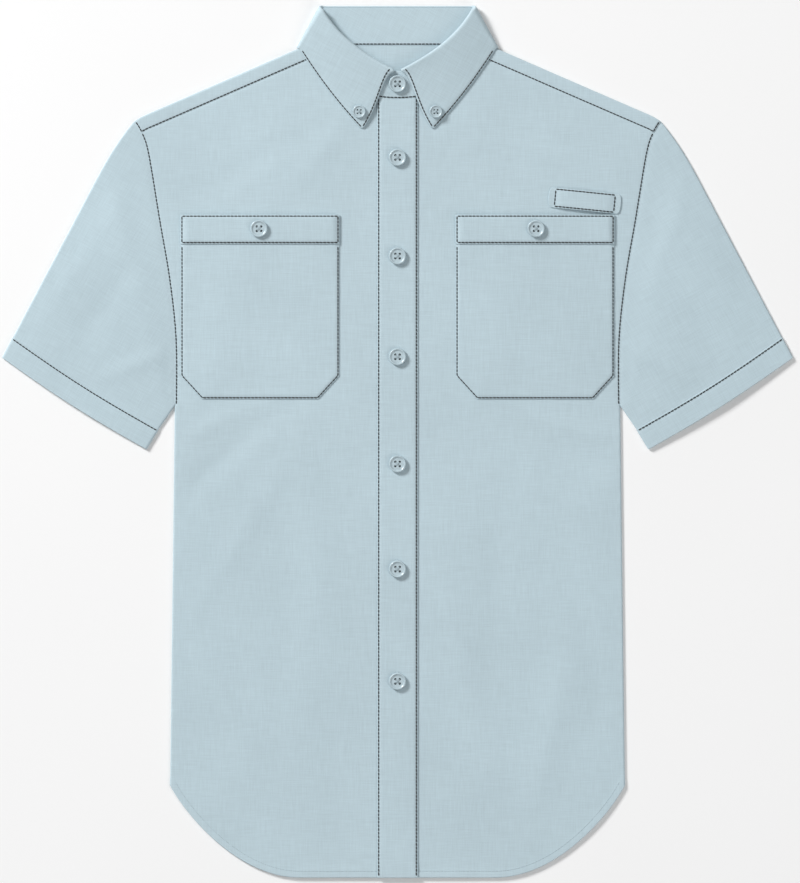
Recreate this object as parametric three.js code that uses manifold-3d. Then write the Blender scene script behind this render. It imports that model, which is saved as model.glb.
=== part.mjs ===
// A short-sleeved fishing shirt, buttoned and laid flat on its back, front up.
// Units are millimetres. +X is the wearer's left, +Y runs from hem to collar, +Z is up from the table.
// Plan points are (x, h): x from the centre front, h above the hem line.
import * as THREE from "three";
import { mergeVertices } from "three/addons/utils/BufferGeometryUtils.js";
import Module from "manifold-3d";

// Cloth and seams
const CLOTH = 1.2;
const HEM_CLOTH = 1.8;
const SEAM_GAP = 0.3;
const LAYER = CLOTH + SEAM_GAP;
const COLLAR_LAYER = CLOTH + 0.4;
const FOLD_PITCH = 1.8;
const FOLD_STEPS = 4;

// Body outline
const LENGTH = 801.3;
const HEM_FLAT_X = 90;
const SIDE_BOTTOM = new THREE.Vector2(208.8, 84.6);
const HEM_PULL_LOW = new THREE.Vector2(148, 0);
const HEM_PULL_HIGH = new THREE.Vector2(196, 60);
const HEM_FLAT_STEPS = 2;
const HEM_CURVE_STEPS = 8;
const SIDE_STEPS = 5;
const FRONTS_MEET_X = 16;
const BACK_YOKE_H = 665;

// Armhole seam, from the underarm to the shoulder tip, with the steps up to each point
const ARMHOLE = [
  { x: 204.5, h: 434.5, steps: 0 },
  { x: 204.8, h: 494, steps: 3 },
  { x: 210.5, h: 549, steps: 3 },
  { x: 219.9, h: 604.4, steps: 3 },
  { x: 230, h: BACK_YOKE_H, steps: 3 },
  { x: 236, h: 684, steps: 1 },
  { x: 242.1, h: 694.6, steps: 2 },
];
const AT_BACK_YOKE = 4;
const AT_FRONT_YOKE = 5;
const AT_SHOULDER = 6;

// Shoulder fold, front yoke seam and neck
const NECK_POINT = new THREE.Vector2(80, 766.4);
const SHOULDER_BEND = new THREE.Vector2(230.9, 701);
const SHOULDER_PULL = new THREE.Vector2(236.8, 698.6);
const SHOULDER_TIP = new THREE.Vector2(242.1, 694.6);
const YOKE_SEAM_NECK = new THREE.Vector2(77.3, 753.4);
const YOKE_SEAM_BEND = new THREE.Vector2(230.2, 687.2);
const YOKE_SEAM_END = new THREE.Vector2(236, 684);
const SHOULDER_STEPS = 6;
const SHOULDER_END_STEPS = 2;
const NECK_WIDTH = 80;
const NECK_DROP = 50.8;
const NECK_STEPS = 9;
const BACK_NECK_H = 765;

// Sleeves
const SLEEVE_BULGE = new THREE.Vector2(258.7, 675.8);
const SLEEVE_BEND = new THREE.Vector2(276.9, 641.2);
const CUFF_TOP = new THREE.Vector2(363.1, 477.8);
const CUFF_BOTTOM = new THREE.Vector2(231, 393.9);
const STITCH_TOP = new THREE.Vector2(353.5, 496);
const STITCH_BOTTOM = new THREE.Vector2(220.3, 411.7);
const CUFF_BOW = 2.5;
const SLEEVE_COLUMNS = 7;
const SLEEVE_BULGE_COLUMNS = 4;
const HEM_COLUMNS = 2;
const UNDERARM_CLEARANCE = 0.8;

// How far the upper layer stands off the lower one, inside the seams
const BODY_PUFF = 1.6;
const BELOW_SHOULDER = { from: 8, to: 110 };
const ABOVE_HEM = { from: 0, to: 120 };
const PUFF_AT_HEM = 0.35;
const SLEEVE_PUFF = 2;
const SLEEVE_PUFF_POWER = 0.9;
const PAST_ARMHOLE = { from: 0, to: 0.4 };
const NEAR_CUFF = { from: 0.7, to: 1 };
const PUFF_LOST_AT_CUFF = 0.3;

// Where the body climbs over the hidden back of the collar leaf: by height, and by distance from the centre
const BACK_CLIMB = { from: -26, to: -2 };
const BACK_CLIMB_END = { from: 94, to: 124 };
const FRONT_CLIMB = { from: 650, to: 752 };
const FRONT_CLIMB_END = { from: 100, to: 190 };

// Placket, pockets and utility tab
const PLACKET_HALF = 18.4;
const PLACKET_ROWS = 34;
const PLACKET_COLUMNS = [-1, -0.5, 0, 0.5, 1];
const POCKET = { inner: 53.6, outer: 199.2, top: 608.8, band: 582.4, chamferH: 460.9, bottom: 439.8 };
const POCKET_CHAMFER_X = 19.3;
const POCKET_COLUMNS = 8;
const POCKET_ROWS = 7;
const TAB = { x: 172.1, h: 622, width: 64, height: 18, tilt: THREE.MathUtils.degToRad(-5.7) };
const TAB_COLUMNS = 8;

// Collar
const COLLAR_TOP_H = LENGTH;
const COLLAR_GAP = 0.5;
const NECK_POINT_CLEARANCE = 0.6;
const STAND_TAB_X = -18;
const STAND_TOP_H = 740.8;
const STAND_TAB_DROP = 12;
const STAND_TOP_Z = 6;
const LEAF_ROLL_Z = 10.6;
const ROLL_LINE = [new THREE.Vector2(68, 797.5), new THREE.Vector2(50, 766), new THREE.Vector2(3.6, 742.9)];
const LEAF_TIP = new THREE.Vector2(32.4, 687.3);
const LEAF_EDGE = [new THREE.Vector2(90, 761.6), new THREE.Vector2(62.5, 718), LEAF_TIP];
const LEAF_FRONT = [ROLL_LINE[2], new THREE.Vector2(14, 740), new THREE.Vector2(15.5, 712), LEAF_TIP];
const LEAF_BACK_H = 752;
const COLLAR_SIDE = new THREE.Vector2(0.9, 0.43);
const SHOULDER_OUT = new THREE.Vector2(0.398, 0.917);
const LEAF_BULGE_TOP = 4.4;
const LEAF_BULGE_EDGE = 2.6;
const STAND_BULGE_TOP = 2;
const STAND_BULGE_SEAM = 0.83;
const LEAF_EASE = 1.1;
const STAND_TAB_ROUNDING = 2.5;
const STAND_RAISED = { from: 0.5, to: 0.82 };
const BACK_SEAM_CLEAR = { from: 0.5, to: 1 };
const FRONT_SEAM_CLEAR = { from: 0, to: 0.25 };

// Buttons: front ones down the placket, then pockets and collar points
const BUTTON = { radius: 8, height: 2.4 };
const COLLAR_BUTTON = { radius: 6, height: 2 };
const STAND_BUTTON_H = 729.1;
const FRONT_BUTTON_H = [661.5, 570.9, 478.4, 380, 283.4, 180.3];
const POCKET_BUTTON = { x: 127.2, h: 596 };
const COLLAR_BUTTON_AT = { x: 35.2, h: 703.6 };

const COLOUR = 0xbbced6;
const wasm = await Module();
wasm.setup();

const cloth = () => new THREE.MeshStandardMaterial({ color: COLOUR, roughness: 0.85, metalness: 0 });
const buttonPlastic = () => new THREE.MeshStandardMaterial({ color: COLOUR, roughness: 0.4, metalness: 0 });

const shirt = new THREE.Group();

function addPiece(name, geometry, material) {
  const mesh = new THREE.Mesh(geometry, material);
  mesh.name = name;
  shirt.add(mesh);
  return mesh;
}

// Plan lines

function line(from, to, steps) {
  return new THREE.LineCurve(from, to).getPoints(steps);
}

function curve(points, steps) {
  const bend =
    points.length === 3 ? new THREE.QuadraticBezierCurve(...points) : new THREE.CubicBezierCurve(...points);
  return bend.getPoints(steps);
}

// Joins lines end to end, dropping the repeated point at each join.
function chain(...lines) {
  return lines.flatMap((points, index) => (index ? points.slice(1) : points));
}

function reversed(points) {
  return [...points].reverse();
}

function pathThrough(points) {
  const path = new THREE.CurvePath();
  for (let i = 1; i < points.length; i++) path.add(new THREE.LineCurve(points[i - 1], points[i]));
  return path;
}

function mirrorLine(points) {
  return reversed(points).map(({ x, y }) => new THREE.Vector2(-x, y));
}

function hemLine(fromX) {
  return chain(
    line(new THREE.Vector2(fromX, 0), new THREE.Vector2(HEM_FLAT_X, 0), HEM_FLAT_STEPS),
    curve([new THREE.Vector2(HEM_FLAT_X, 0), HEM_PULL_LOW, HEM_PULL_HIGH, SIDE_BOTTOM], HEM_CURVE_STEPS),
  );
}

function armholeLine(first, last) {
  const spline = new THREE.SplineCurve(ARMHOLE.map(({ x, h }) => new THREE.Vector2(x, h)));
  const points = [spline.getPoint(first / AT_SHOULDER)];
  for (let span = first; span < last; span++) {
    const { steps } = ARMHOLE[span + 1];
    for (let i = 1; i <= steps; i++) points.push(spline.getPoint((span + i / steps) / AT_SHOULDER));
  }
  return points;
}

function shoulderLine() {
  return chain(
    line(NECK_POINT, SHOULDER_BEND, SHOULDER_STEPS),
    curve([SHOULDER_BEND, SHOULDER_PULL, SHOULDER_TIP], SHOULDER_END_STEPS),
  );
}

function frontYokeSeam() {
  return chain(
    line(YOKE_SEAM_NECK, YOKE_SEAM_BEND, SHOULDER_STEPS),
    line(YOKE_SEAM_BEND, YOKE_SEAM_END, SHOULDER_END_STEPS),
  );
}

// The neck seam's height at x, on the front.
function neckH(x) {
  return NECK_POINT.y - NECK_DROP * Math.sqrt(Math.max(0, 1 - (x / NECK_WIDTH) ** 2));
}

// The neck seam's point at an angle from the neck point, 0, towards the centre front, 90 degrees.
function neckAt(angle) {
  return new THREE.Vector2(NECK_WIDTH * Math.cos(angle), NECK_POINT.y - NECK_DROP * Math.sin(angle));
}

const YOKE_SEAM_ANGLE = Math.acos(YOKE_SEAM_NECK.x / NECK_WIDTH);

function neckLine(fromX) {
  const start = Math.acos(fromX / NECK_WIDTH);
  const points = [];
  for (let i = 0; i <= NECK_STEPS; i++) {
    points.push(neckAt(THREE.MathUtils.lerp(start, YOKE_SEAM_ANGLE, i / NECK_STEPS)));
  }
  points[NECK_STEPS] = YOKE_SEAM_NECK.clone();
  return points;
}

const PARALLEL = 1e-4;

// Moves each side of a counter-clockwise outline inwards by its own distance.
// A side is { points, inset }, and starts where the last one ends.
function insetSides(sides) {
  const loop = [];
  for (const { points, inset } of sides) {
    for (let i = 0; i < points.length - 1; i++) loop.push({ at: points[i], inset });
  }
  const count = loop.length;
  const inward = loop.map(({ at }, i) => {
    const along = loop[(i + 1) % count].at.clone().sub(at).normalize();
    return new THREE.Vector2(-along.y, along.x);
  });
  const moved = loop.map(({ at }, i) => {
    const before = (i + count - 1) % count;
    const [a, b] = [inward[before], inward[i]];
    const [da, db] = [loop[before].inset, loop[i].inset];
    const cross = a.x * b.y - a.y * b.x;
    if (Math.abs(cross) < PARALLEL) return at.clone().addScaledVector(b, db);
    return new THREE.Vector2(at.x + (da * b.y - db * a.y) / cross, at.y + (db * a.x - da * b.x) / cross);
  });
  let start = 0;
  return sides.map(({ points }) => {
    const side = points.map((_, i) => moved[(start + i) % count]);
    start += points.length - 1;
    return side;
  });
}

// A grid of plan points inside four sides given counter-clockwise: bottom, right, top, left.
function patch([bottom, right, top, left]) {
  const across = bottom.length - 1;
  const up = right.length - 1;
  const upper = reversed(top);
  const near = reversed(left);
  return Array.from({ length: up + 1 }, (_, i) =>
    Array.from({ length: across + 1 }, (_, j) => {
      const u = j / across;
      const v = i / up;
      return new THREE.Vector2()
        .addScaledVector(bottom[j], 1 - v)
        .addScaledVector(upper[j], v)
        .addScaledVector(near[i], 1 - u)
        .addScaledVector(right[i], u)
        .addScaledVector(bottom[0], -(1 - u) * (1 - v))
        .addScaledVector(bottom[across], -u * (1 - v))
        .addScaledVector(upper[0], -(1 - u) * v)
        .addScaledVector(upper[across], -u * v);
    }),
  );
}

// Layer heights: each function gives the middle of a layer of cloth at a plan point

// Rises from 0 to 1 as the value passes through a range.
function smooth(value, { from, to }) {
  return THREE.MathUtils.smoothstep(value, from, to);
}

function leafBackEdgeH(x) {
  return LEAF_BACK_H + (LEAF_EDGE[0].y - LEAF_BACK_H) * (x / LEAF_EDGE[0].x) ** 2;
}

// The back lies on the table, and climbs over the hidden back of the collar leaf at the neck.
function backZ(x, h) {
  const side = Math.abs(x);
  const edge = leafBackEdgeH(Math.min(side, LEAF_EDGE[0].x));
  return CLOTH / 2 + COLLAR_LAYER * smooth(h - edge, BACK_CLIMB) * (1 - smooth(side, BACK_CLIMB_END));
}

function halfWidthAt(h) {
  if (h < SIDE_BOTTOM.y) return SIDE_BOTTOM.x;
  if (h < ARMHOLE[0].h) {
    return THREE.MathUtils.mapLinear(h, SIDE_BOTTOM.y, ARMHOLE[0].h, SIDE_BOTTOM.x, ARMHOLE[0].x);
  }
  for (let i = 1; i < ARMHOLE.length; i++) {
    const [low, high] = [ARMHOLE[i - 1], ARMHOLE[i]];
    if (h < high.h) return THREE.MathUtils.mapLinear(h, low.h, high.h, low.x, high.x);
  }
  return SHOULDER_TIP.x;
}

function shoulderH(x) {
  return THREE.MathUtils.mapLinear(Math.abs(x), NECK_POINT.x, SHOULDER_BEND.x, NECK_POINT.y, SHOULDER_BEND.y);
}

// The fronts lie on the back, pressed to it along the seams and a little clear of it inside them.
function frontZ(x, h) {
  const side = Math.abs(x);
  const inside = Math.max(0, 1 - (side / halfWidthAt(h)) ** 2);
  const belowShoulder = smooth(shoulderH(Math.max(side, NECK_POINT.x)) - h, BELOW_SHOULDER);
  const aboveHem = THREE.MathUtils.lerp(PUFF_AT_HEM, 1, smooth(h, ABOVE_HEM));
  const overCollar = COLLAR_LAYER * smooth(h, FRONT_CLIMB) * (1 - smooth(side, FRONT_CLIMB_END));
  return CLOTH / 2 + FOLD_PITCH + overCollar + BODY_PUFF * inside * belowShoulder * aboveHem;
}

function place(point, z) {
  return new THREE.Vector3(point.x, point.y - LENGTH / 2, z);
}

function lay(grid, height) {
  return grid.map((row) => row.map((point) => place(point, height(point.x, point.y))));
}

// Solids

// Closes a surface given by corners and faces, turned so that its faces point out.
function closedGeometry(corners, faces) {
  let volume = 0;
  for (const [a, b, c] of faces) {
    volume += corners[a].dot(new THREE.Vector3().crossVectors(corners[b], corners[c]));
  }
  const ordered = volume < 0 ? faces.map(([a, b, c]) => [a, c, b]) : faces;
  const geometry = new THREE.BufferGeometry().setFromPoints(corners);
  geometry.setIndex(ordered.flat());
  geometry.computeVertexNormals();
  return geometry;
}

// A wall of even thickness round a grid of middle points. A loop's last column joins its first,
// and there is no cloth where a cell has a corner missing.
function wall(grid, thickness, loop = false) {
  const columns = grid[0].length;
  const index = (i, j) => i * columns + (j % columns);
  const middle = grid.flat();
  const facing = middle.map(() => new THREE.Vector3());
  const quads = [];
  for (let i = 0; i < grid.length - 1; i++) {
    for (let j = 0; j < (loop ? columns : columns - 1); j++) {
      const quad = [index(i, j), index(i, j + 1), index(i + 1, j + 1), index(i + 1, j)];
      if (quad.some((k) => !middle[k])) continue;
      const [a, b, c, d] = quad.map((k) => middle[k]);
      const normal = new THREE.Vector3().crossVectors(c.clone().sub(a), d.clone().sub(b));
      for (const k of quad) facing[k].add(normal);
      quads.push(quad);
    }
  }
  const used = [...new Set(quads.flat())];
  const order = new Map(used.map((k, i) => [k, i]));
  const shifted = (k, by) => middle[k].clone().addScaledVector(facing[k].clone().normalize(), by);
  const corners = [
    ...used.map((k) => shifted(k, thickness / 2)),
    ...used.map((k) => shifted(k, -thickness / 2)),
  ];
  const over = (k) => order.get(k);
  const under = (k) => order.get(k) + used.length;
  const faces = [];
  const edges = new Set();
  for (const quad of quads) {
    const [a, b, c, d] = quad;
    const short = middle[a].distanceTo(middle[c]) <= middle[b].distanceTo(middle[d]);
    const halves = short ? [[a, b, c], [a, c, d]] : [[a, b, d], [b, c, d]];
    for (const [p, q, r] of halves) {
      faces.push([over(p), over(q), over(r)], [under(p), under(r), under(q)]);
    }
    quad.forEach((k, i) => edges.add(`${k}-${quad[(i + 1) % 4]}`));
  }
  for (const edge of edges) {
    const [p, q] = edge.split("-").map(Number);
    if (edges.has(`${q}-${p}`)) continue;
    faces.push([over(q), over(p), under(p)], [over(q), under(p), under(q)]);
  }
  return closedGeometry(corners, faces);
}

function mirrored(geometry) {
  const copy = geometry.clone().scale(-1, 1, 1);
  const turned = copy.index.array;
  for (let i = 0; i < turned.length; i += 3) [turned[i + 1], turned[i + 2]] = [turned[i + 2], turned[i + 1]];
  copy.computeVertexNormals();
  return copy;
}

// Points round a folded edge, from the lower layer to the upper one. Each end is a plan point and a
// height, and outer is the plan point that the fold's outside reaches.
function foldPoints(lower, lowerZ, upper, upperZ, outer, thickness = CLOTH) {
  const radius = (upperZ - lowerZ) / 2;
  const reach = radius / (radius + thickness / 2);
  const points = [];
  for (let i = 1; i < FOLD_STEPS; i++) {
    const angle = (Math.PI * i) / FOLD_STEPS;
    const base = lower.clone().lerp(upper, (1 - Math.cos(angle)) / 2);
    base.addScaledVector(outer.clone().sub(base), reach * Math.sin(angle));
    points.push(place(base, (lowerZ + upperZ) / 2 - radius * Math.cos(angle)));
  }
  return points;
}

// Body

const HALF_GAP = SEAM_GAP / 2;
const FOLD_INSET = FOLD_PITCH / 2 + CLOTH / 2;

function makeBackPanel() {
  const hem = hemLine(0);
  const armhole = armholeLine(0, AT_BACK_YOKE);
  const side = chain(line(SIDE_BOTTOM, armhole[0], SIDE_STEPS), armhole);
  const corner = side[side.length - 1];
  const across = 2 * (hem.length - 1);
  const outline = insetSides([
    { points: chain(mirrorLine(hem), hem), inset: 0 },
    { points: side, inset: HALF_GAP },
    { points: line(corner, new THREE.Vector2(-corner.x, corner.y), across), inset: HALF_GAP },
    { points: mirrorLine(side), inset: HALF_GAP },
  ]);
  return wall(lay(patch(outline), backZ), CLOTH);
}

function makeFront(innerX) {
  const hem = hemLine(innerX);
  const armhole = armholeLine(0, AT_FRONT_YOKE);
  const side = chain(line(SIDE_BOTTOM, armhole[0], SIDE_STEPS), armhole);
  const top = reversed(chain(neckLine(innerX), frontYokeSeam()));
  const inner = line(top[top.length - 1], hem[0], side.length - 1);
  const outline = insetSides([
    { points: pathThrough(hem).getSpacedPoints(top.length - 1), inset: 0 },
    { points: side, inset: HALF_GAP },
    { points: top, inset: HALF_GAP },
    { points: inner, inset: HALF_GAP },
  ]);
  return wall(lay(patch(outline), frontZ), CLOTH);
}

// The yoke is one piece: across the upper back, over each shoulder, down to the front yoke seam.
// Its columns run up from the back seam, and those beside the neck go on over the shoulder fold.
const YOKE_NECK_COLUMNS = 7;
const YOKE_ROWS = [0, 0.35, 0.6, 0.72, 0.8, 0.88, 0.94, 1];

function yokeBackSides(shoulderInset) {
  const seamEnd = new THREE.Vector2(ARMHOLE[AT_BACK_YOKE].x, BACK_YOKE_H);
  const centreLow = new THREE.Vector2(0, BACK_YOKE_H);
  const centreHigh = new THREE.Vector2(0, BACK_NECK_H);
  const neckSide = new THREE.Vector2(NECK_WIDTH, BACK_NECK_H);
  const neckEdge = line(centreHigh, neckSide, YOKE_NECK_COLUMNS);
  const shoulder = [neckSide, ...shoulderLine().slice(1)];
  const across = neckEdge.length + shoulder.length - 2;
  const atRows = (points) => YOKE_ROWS.map((share) => pathThrough(points).getPointAt(share));
  const [seam, armhole, shoulderSide, neckSideLine, centre] = insetSides([
    { points: line(centreLow, seamEnd, across), inset: HALF_GAP },
    { points: atRows(armholeLine(AT_BACK_YOKE, AT_SHOULDER)), inset: HALF_GAP },
    { points: reversed(shoulder), inset: shoulderInset },
    { points: reversed(neckEdge), inset: HALF_GAP },
    { points: reversed(atRows([centreLow, centreHigh])), inset: 0 },
  ]);
  return [seam, armhole, chain(shoulderSide, neckSideLine), centre];
}

function yokeFrontSides() {
  return insetSides([
    { points: frontYokeSeam(), inset: HALF_GAP },
    { points: armholeLine(AT_FRONT_YOKE, AT_SHOULDER), inset: HALF_GAP },
    { points: reversed(shoulderLine()), inset: FOLD_INSET },
    { points: [NECK_POINT, neckAt(YOKE_SEAM_ANGLE / 2), YOKE_SEAM_NECK], inset: HALF_GAP },
  ]);
}

function makeYoke() {
  const back = patch(yokeBackSides(FOLD_INSET));
  const front = reversed(patch(yokeFrontSides()));
  const silhouette = reversed(yokeBackSides(0)[2]);
  const backTop = back[back.length - 1];
  const columns = backTop.map((lower, j) => {
    const rising = back.map((row) => place(row[j], backZ(row[j].x, row[j].y)));
    if (j < YOKE_NECK_COLUMNS) return rising;
    const falling = front.map((row) => row[j - YOKE_NECK_COLUMNS]);
    const [upper] = falling;
    const lowerZ = backZ(lower.x, lower.y);
    const upperZ = frontZ(upper.x, upper.y);
    return [
      ...rising,
      ...foldPoints(lower, lowerZ, upper, upperZ, silhouette[j]),
      ...falling.map((point) => place(point, frontZ(point.x, point.y))),
    ];
  });
  const otherSide = reversed(columns.slice(1)).map(flipColumn);
  const all = [...otherSide, ...columns];
  const longest = columns[columns.length - 1].length;
  const grid = Array.from({ length: longest }, (_, i) => all.map((column) => column[i]));
  return wall(grid, CLOTH);
}

function flipColumn(column) {
  return column.map(({ x, y, z }) => new THREE.Vector3(-x, y, z));
}

// Sleeves: a flattened tube, open at the armhole and at the cuff

function bowed(from, to, steps, bow) {
  const out = to.clone().sub(from).normalize();
  const normal = new THREE.Vector2(out.y, -out.x);
  return line(from, to, steps).map((point, i) =>
    point.clone().addScaledVector(normal, bow * Math.sin((Math.PI * i) / steps)),
  );
}

// One layer's grid of a sleeve tube and the outline that its folds reach.
function tubePatch(body, cuff, under, over) {
  const sides = (inset) =>
    insetSides([
      { points: under, inset },
      { points: cuff, inset: HALF_GAP },
      { points: reversed(over), inset },
      { points: reversed(body), inset: HALF_GAP },
    ]);
  return { inner: patch(sides(FOLD_INSET)), outer: patch(sides(0)) };
}

// A tube from a patch whose rows run from the underarm to the top fold, and columns from body to cuff.
function flatTube({ inner, outer }, thickness, puff) {
  const rows = inner.length;
  const columns = inner[0].length;
  const low = thickness / 2;
  const highAt = (i, j) => low + FOLD_PITCH + puff(i / (rows - 1), j / (columns - 1));
  const rings = [];
  for (let j = 0; j < columns; j++) {
    const ring = [];
    for (let i = 0; i < rows; i++) ring.push(place(inner[i][j], low));
    const end = inner[rows - 1][j];
    ring.push(...foldPoints(end, low, end, highAt(rows - 1, j), outer[rows - 1][j], thickness));
    for (let i = rows - 1; i >= 0; i--) ring.push(place(inner[i][j], highAt(i, j)));
    const start = inner[0][j];
    ring.push(...foldPoints(start, low, start, highAt(0, j), outer[0][j], thickness).reverse());
    rings.push(ring);
  }
  return wall(rings, thickness, true);
}

function sleevePuff(u, v) {
  const across = Math.sin(Math.PI * u) ** SLEEVE_PUFF_POWER;
  return SLEEVE_PUFF * across * smooth(v, PAST_ARMHOLE) * (1 - PUFF_LOST_AT_CUFF * smooth(v, NEAR_CUFF));
}

function makeSleeve() {
  const body = armholeLine(0, AT_SHOULDER);
  body[0].x += UNDERARM_CLEARANCE;
  const cuff = bowed(STITCH_BOTTOM, STITCH_TOP, body.length - 1, CUFF_BOW);
  const over = chain(
    curve([SHOULDER_TIP, SLEEVE_BULGE, SLEEVE_BEND], SLEEVE_BULGE_COLUMNS),
    line(SLEEVE_BEND, STITCH_TOP, SLEEVE_COLUMNS - SLEEVE_BULGE_COLUMNS),
  );
  const under = line(body[0], STITCH_BOTTOM, SLEEVE_COLUMNS);
  return flatTube(tubePatch(body, cuff, under, over), CLOTH, sleevePuff);
}

function makeSleeveHem() {
  const steps = armholeLine(0, AT_SHOULDER).length - 1;
  const body = bowed(STITCH_BOTTOM, STITCH_TOP, steps, CUFF_BOW);
  const cuff = bowed(CUFF_BOTTOM, CUFF_TOP, steps, CUFF_BOW);
  const over = line(STITCH_TOP, CUFF_TOP, HEM_COLUMNS);
  const under = line(STITCH_BOTTOM, CUFF_BOTTOM, HEM_COLUMNS);
  return flatTube(tubePatch(body, cuff, under, over), HEM_CLOTH, (u) => sleevePuff(u, 1));
}

// Collar: stations run from the centre back, round the side of the neck, to the centre front

const BACK_STATIONS = 3;
const TURN_STATIONS = 5;
const FRONT_STATIONS = 11;
const TAB_STATIONS = 5;
const STAND_ROWS = 3;
const LEAF_ROWS = 5;
const BACK_LAYER_Z = CLOTH / 2;
const BACK_STAND_Z = BACK_LAYER_Z + COLLAR_LAYER;
const BACK_STAND_TOP_H = COLLAR_TOP_H - COLLAR_LAYER / 2 - CLOTH / 2 - COLLAR_GAP;
const FIRST_NECK_ANGLE = 0.02;
const LAST_NECK_ANGLE = Math.acos(ROLL_LINE[2].x / NECK_WIDTH);
const LEAF_FRONT_CURVE = new THREE.CubicBezierCurve(...LEAF_FRONT);

function collarStations() {
  const stations = [];
  for (let i = 0; i <= BACK_STATIONS; i++) stations.push({ part: "back", share: i / BACK_STATIONS });
  for (let i = 1; i < TURN_STATIONS; i++) stations.push({ part: "turn", share: i / TURN_STATIONS });
  for (let i = 0; i <= FRONT_STATIONS; i++) stations.push({ part: "front", share: i / FRONT_STATIONS });
  return stations;
}

function quadraticAt(points, t) {
  return new THREE.QuadraticBezierCurve(...points).getPoint(t);
}

// A point on the half turn from a lower layer to an upper one, which bulges outwards in plan.
function halfTurn(lower, upper, outward, bulge, share) {
  const angle = Math.PI * share;
  const point = lower.clone().lerp(upper, (1 - Math.cos(angle)) / 2);
  const reach = bulge * Math.sin(angle);
  return point.add(new THREE.Vector3(outward.x * reach, outward.y * reach, 0));
}

// How far the upper free end of the stand is raised over the lower one, along the front.
function standRaise(share, upper) {
  return upper ? LAYER * smooth(share, STAND_RAISED) : 0;
}

// The stand's seam and top edge at a station. Upper is the half whose free end lies on top.
function standSection({ part, share }, upper) {
  if (part === "back") return standBackSection(share);
  if (part === "front") return standFrontSection(share, upper);
  const back = standBackSection(1);
  const front = standFrontSection(0, upper);
  return {
    seam: halfTurn(back.seam, front.seam, SHOULDER_OUT, STAND_BULGE_SEAM, share),
    top: halfTurn(back.top, front.top, COLLAR_SIDE, STAND_BULGE_TOP, share),
  };
}

function standBackSection(share) {
  const clear = NECK_POINT_CLEARANCE * smooth(share, BACK_SEAM_CLEAR);
  const seamX = (NECK_WIDTH - NECK_POINT_CLEARANCE) * share;
  const seam = new THREE.Vector2(seamX, BACK_NECK_H + HALF_GAP + clear);
  const top = new THREE.Vector2(ROLL_LINE[0].x * share, BACK_STAND_TOP_H);
  return { seam: place(seam, BACK_STAND_Z), top: place(top, BACK_STAND_Z) };
}

function standFrontSection(share, upper) {
  const seam = neckAt(THREE.MathUtils.lerp(FIRST_NECK_ANGLE, LAST_NECK_ANGLE, share));
  const towardsNeck = new THREE.Vector2(-seam.x, NECK_POINT.y - seam.y).normalize();
  seam.addScaledVector(towardsNeck, SEAM_GAP);
  seam.x -= NECK_POINT_CLEARANCE * (1 - smooth(share, FRONT_SEAM_CLEAR));
  const raise = standRaise(share, upper);
  const topZ = STAND_TOP_Z + raise;
  const roll = quadraticAt(ROLL_LINE, share);
  const rise = roll.clone().sub(seam).normalize();
  const foldReach = (LEAF_ROLL_Z - topZ) / 2 + CLOTH / 2 + COLLAR_GAP;
  const top = roll.addScaledVector(rise, -foldReach);
  return { seam: place(seam, frontZ(seam.x, seam.y) + raise), top: place(top, topZ) };
}

function standColumn({ seam, top }) {
  return Array.from({ length: STAND_ROWS + 1 }, (_, i) => seam.clone().lerp(top, i / STAND_ROWS));
}

// The stand's free end passes the centre front, and its top edge rounds off downwards.
function standTab(upper) {
  return Array.from({ length: TAB_STATIONS }, (_, i) => {
    const x = THREE.MathUtils.lerp(ROLL_LINE[2].x, STAND_TAB_X, (i + 1) / TAB_STATIONS);
    const drop = STAND_TAB_DROP * Math.max(0, x / STAND_TAB_X) ** STAND_TAB_ROUNDING;
    const seam = new THREE.Vector2(x, neckH(x) + HALF_GAP);
    const top = new THREE.Vector2(x, STAND_TOP_H - drop);
    const seamZ = frontZ(seam.x, seam.y);
    const share = (top.y - seam.y) / (STAND_TOP_H - seam.y);
    const topZ = THREE.MathUtils.lerp(seamZ, STAND_TOP_Z, share);
    const raise = standRaise(1, upper);
    return standColumn({ seam: place(seam, seamZ + raise), top: place(top, topZ + raise) });
  });
}

function makeStand() {
  const half = (upper) => [
    ...collarStations().map((station) => standColumn(standSection(station, upper))),
    ...standTab(upper),
  ];
  const right = reversed(half(false)).map(flipColumn);
  return wall([...right, ...half(true).slice(1)], CLOTH);
}

// The leaf starts at the stand's top edge, folds over, and comes down outside to its own edge.
function leafColumn(station, upper) {
  const { seam, top } = standSection(station, upper);
  const rise = top.clone().sub(seam).setZ(0).normalize();
  const foot = top.addScaledVector(rise, COLLAR_GAP);
  const outer = Array.from({ length: LEAF_ROWS + 1 }, (_, i) => leafPoint(station, foot, i / LEAF_ROWS));
  const centre = foot.clone().add(outer[0]).multiplyScalar(0.5);
  const radius = foot.distanceTo(outer[0]) / 2;
  const fold = Array.from({ length: FOLD_STEPS }, (_, i) => {
    const angle = (Math.PI * i) / FOLD_STEPS;
    return centre
      .clone()
      .addScaledVector(foot.clone().sub(centre), Math.cos(angle))
      .addScaledVector(rise, radius * Math.sin(angle));
  });
  return [...fold, ...outer];
}

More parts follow.
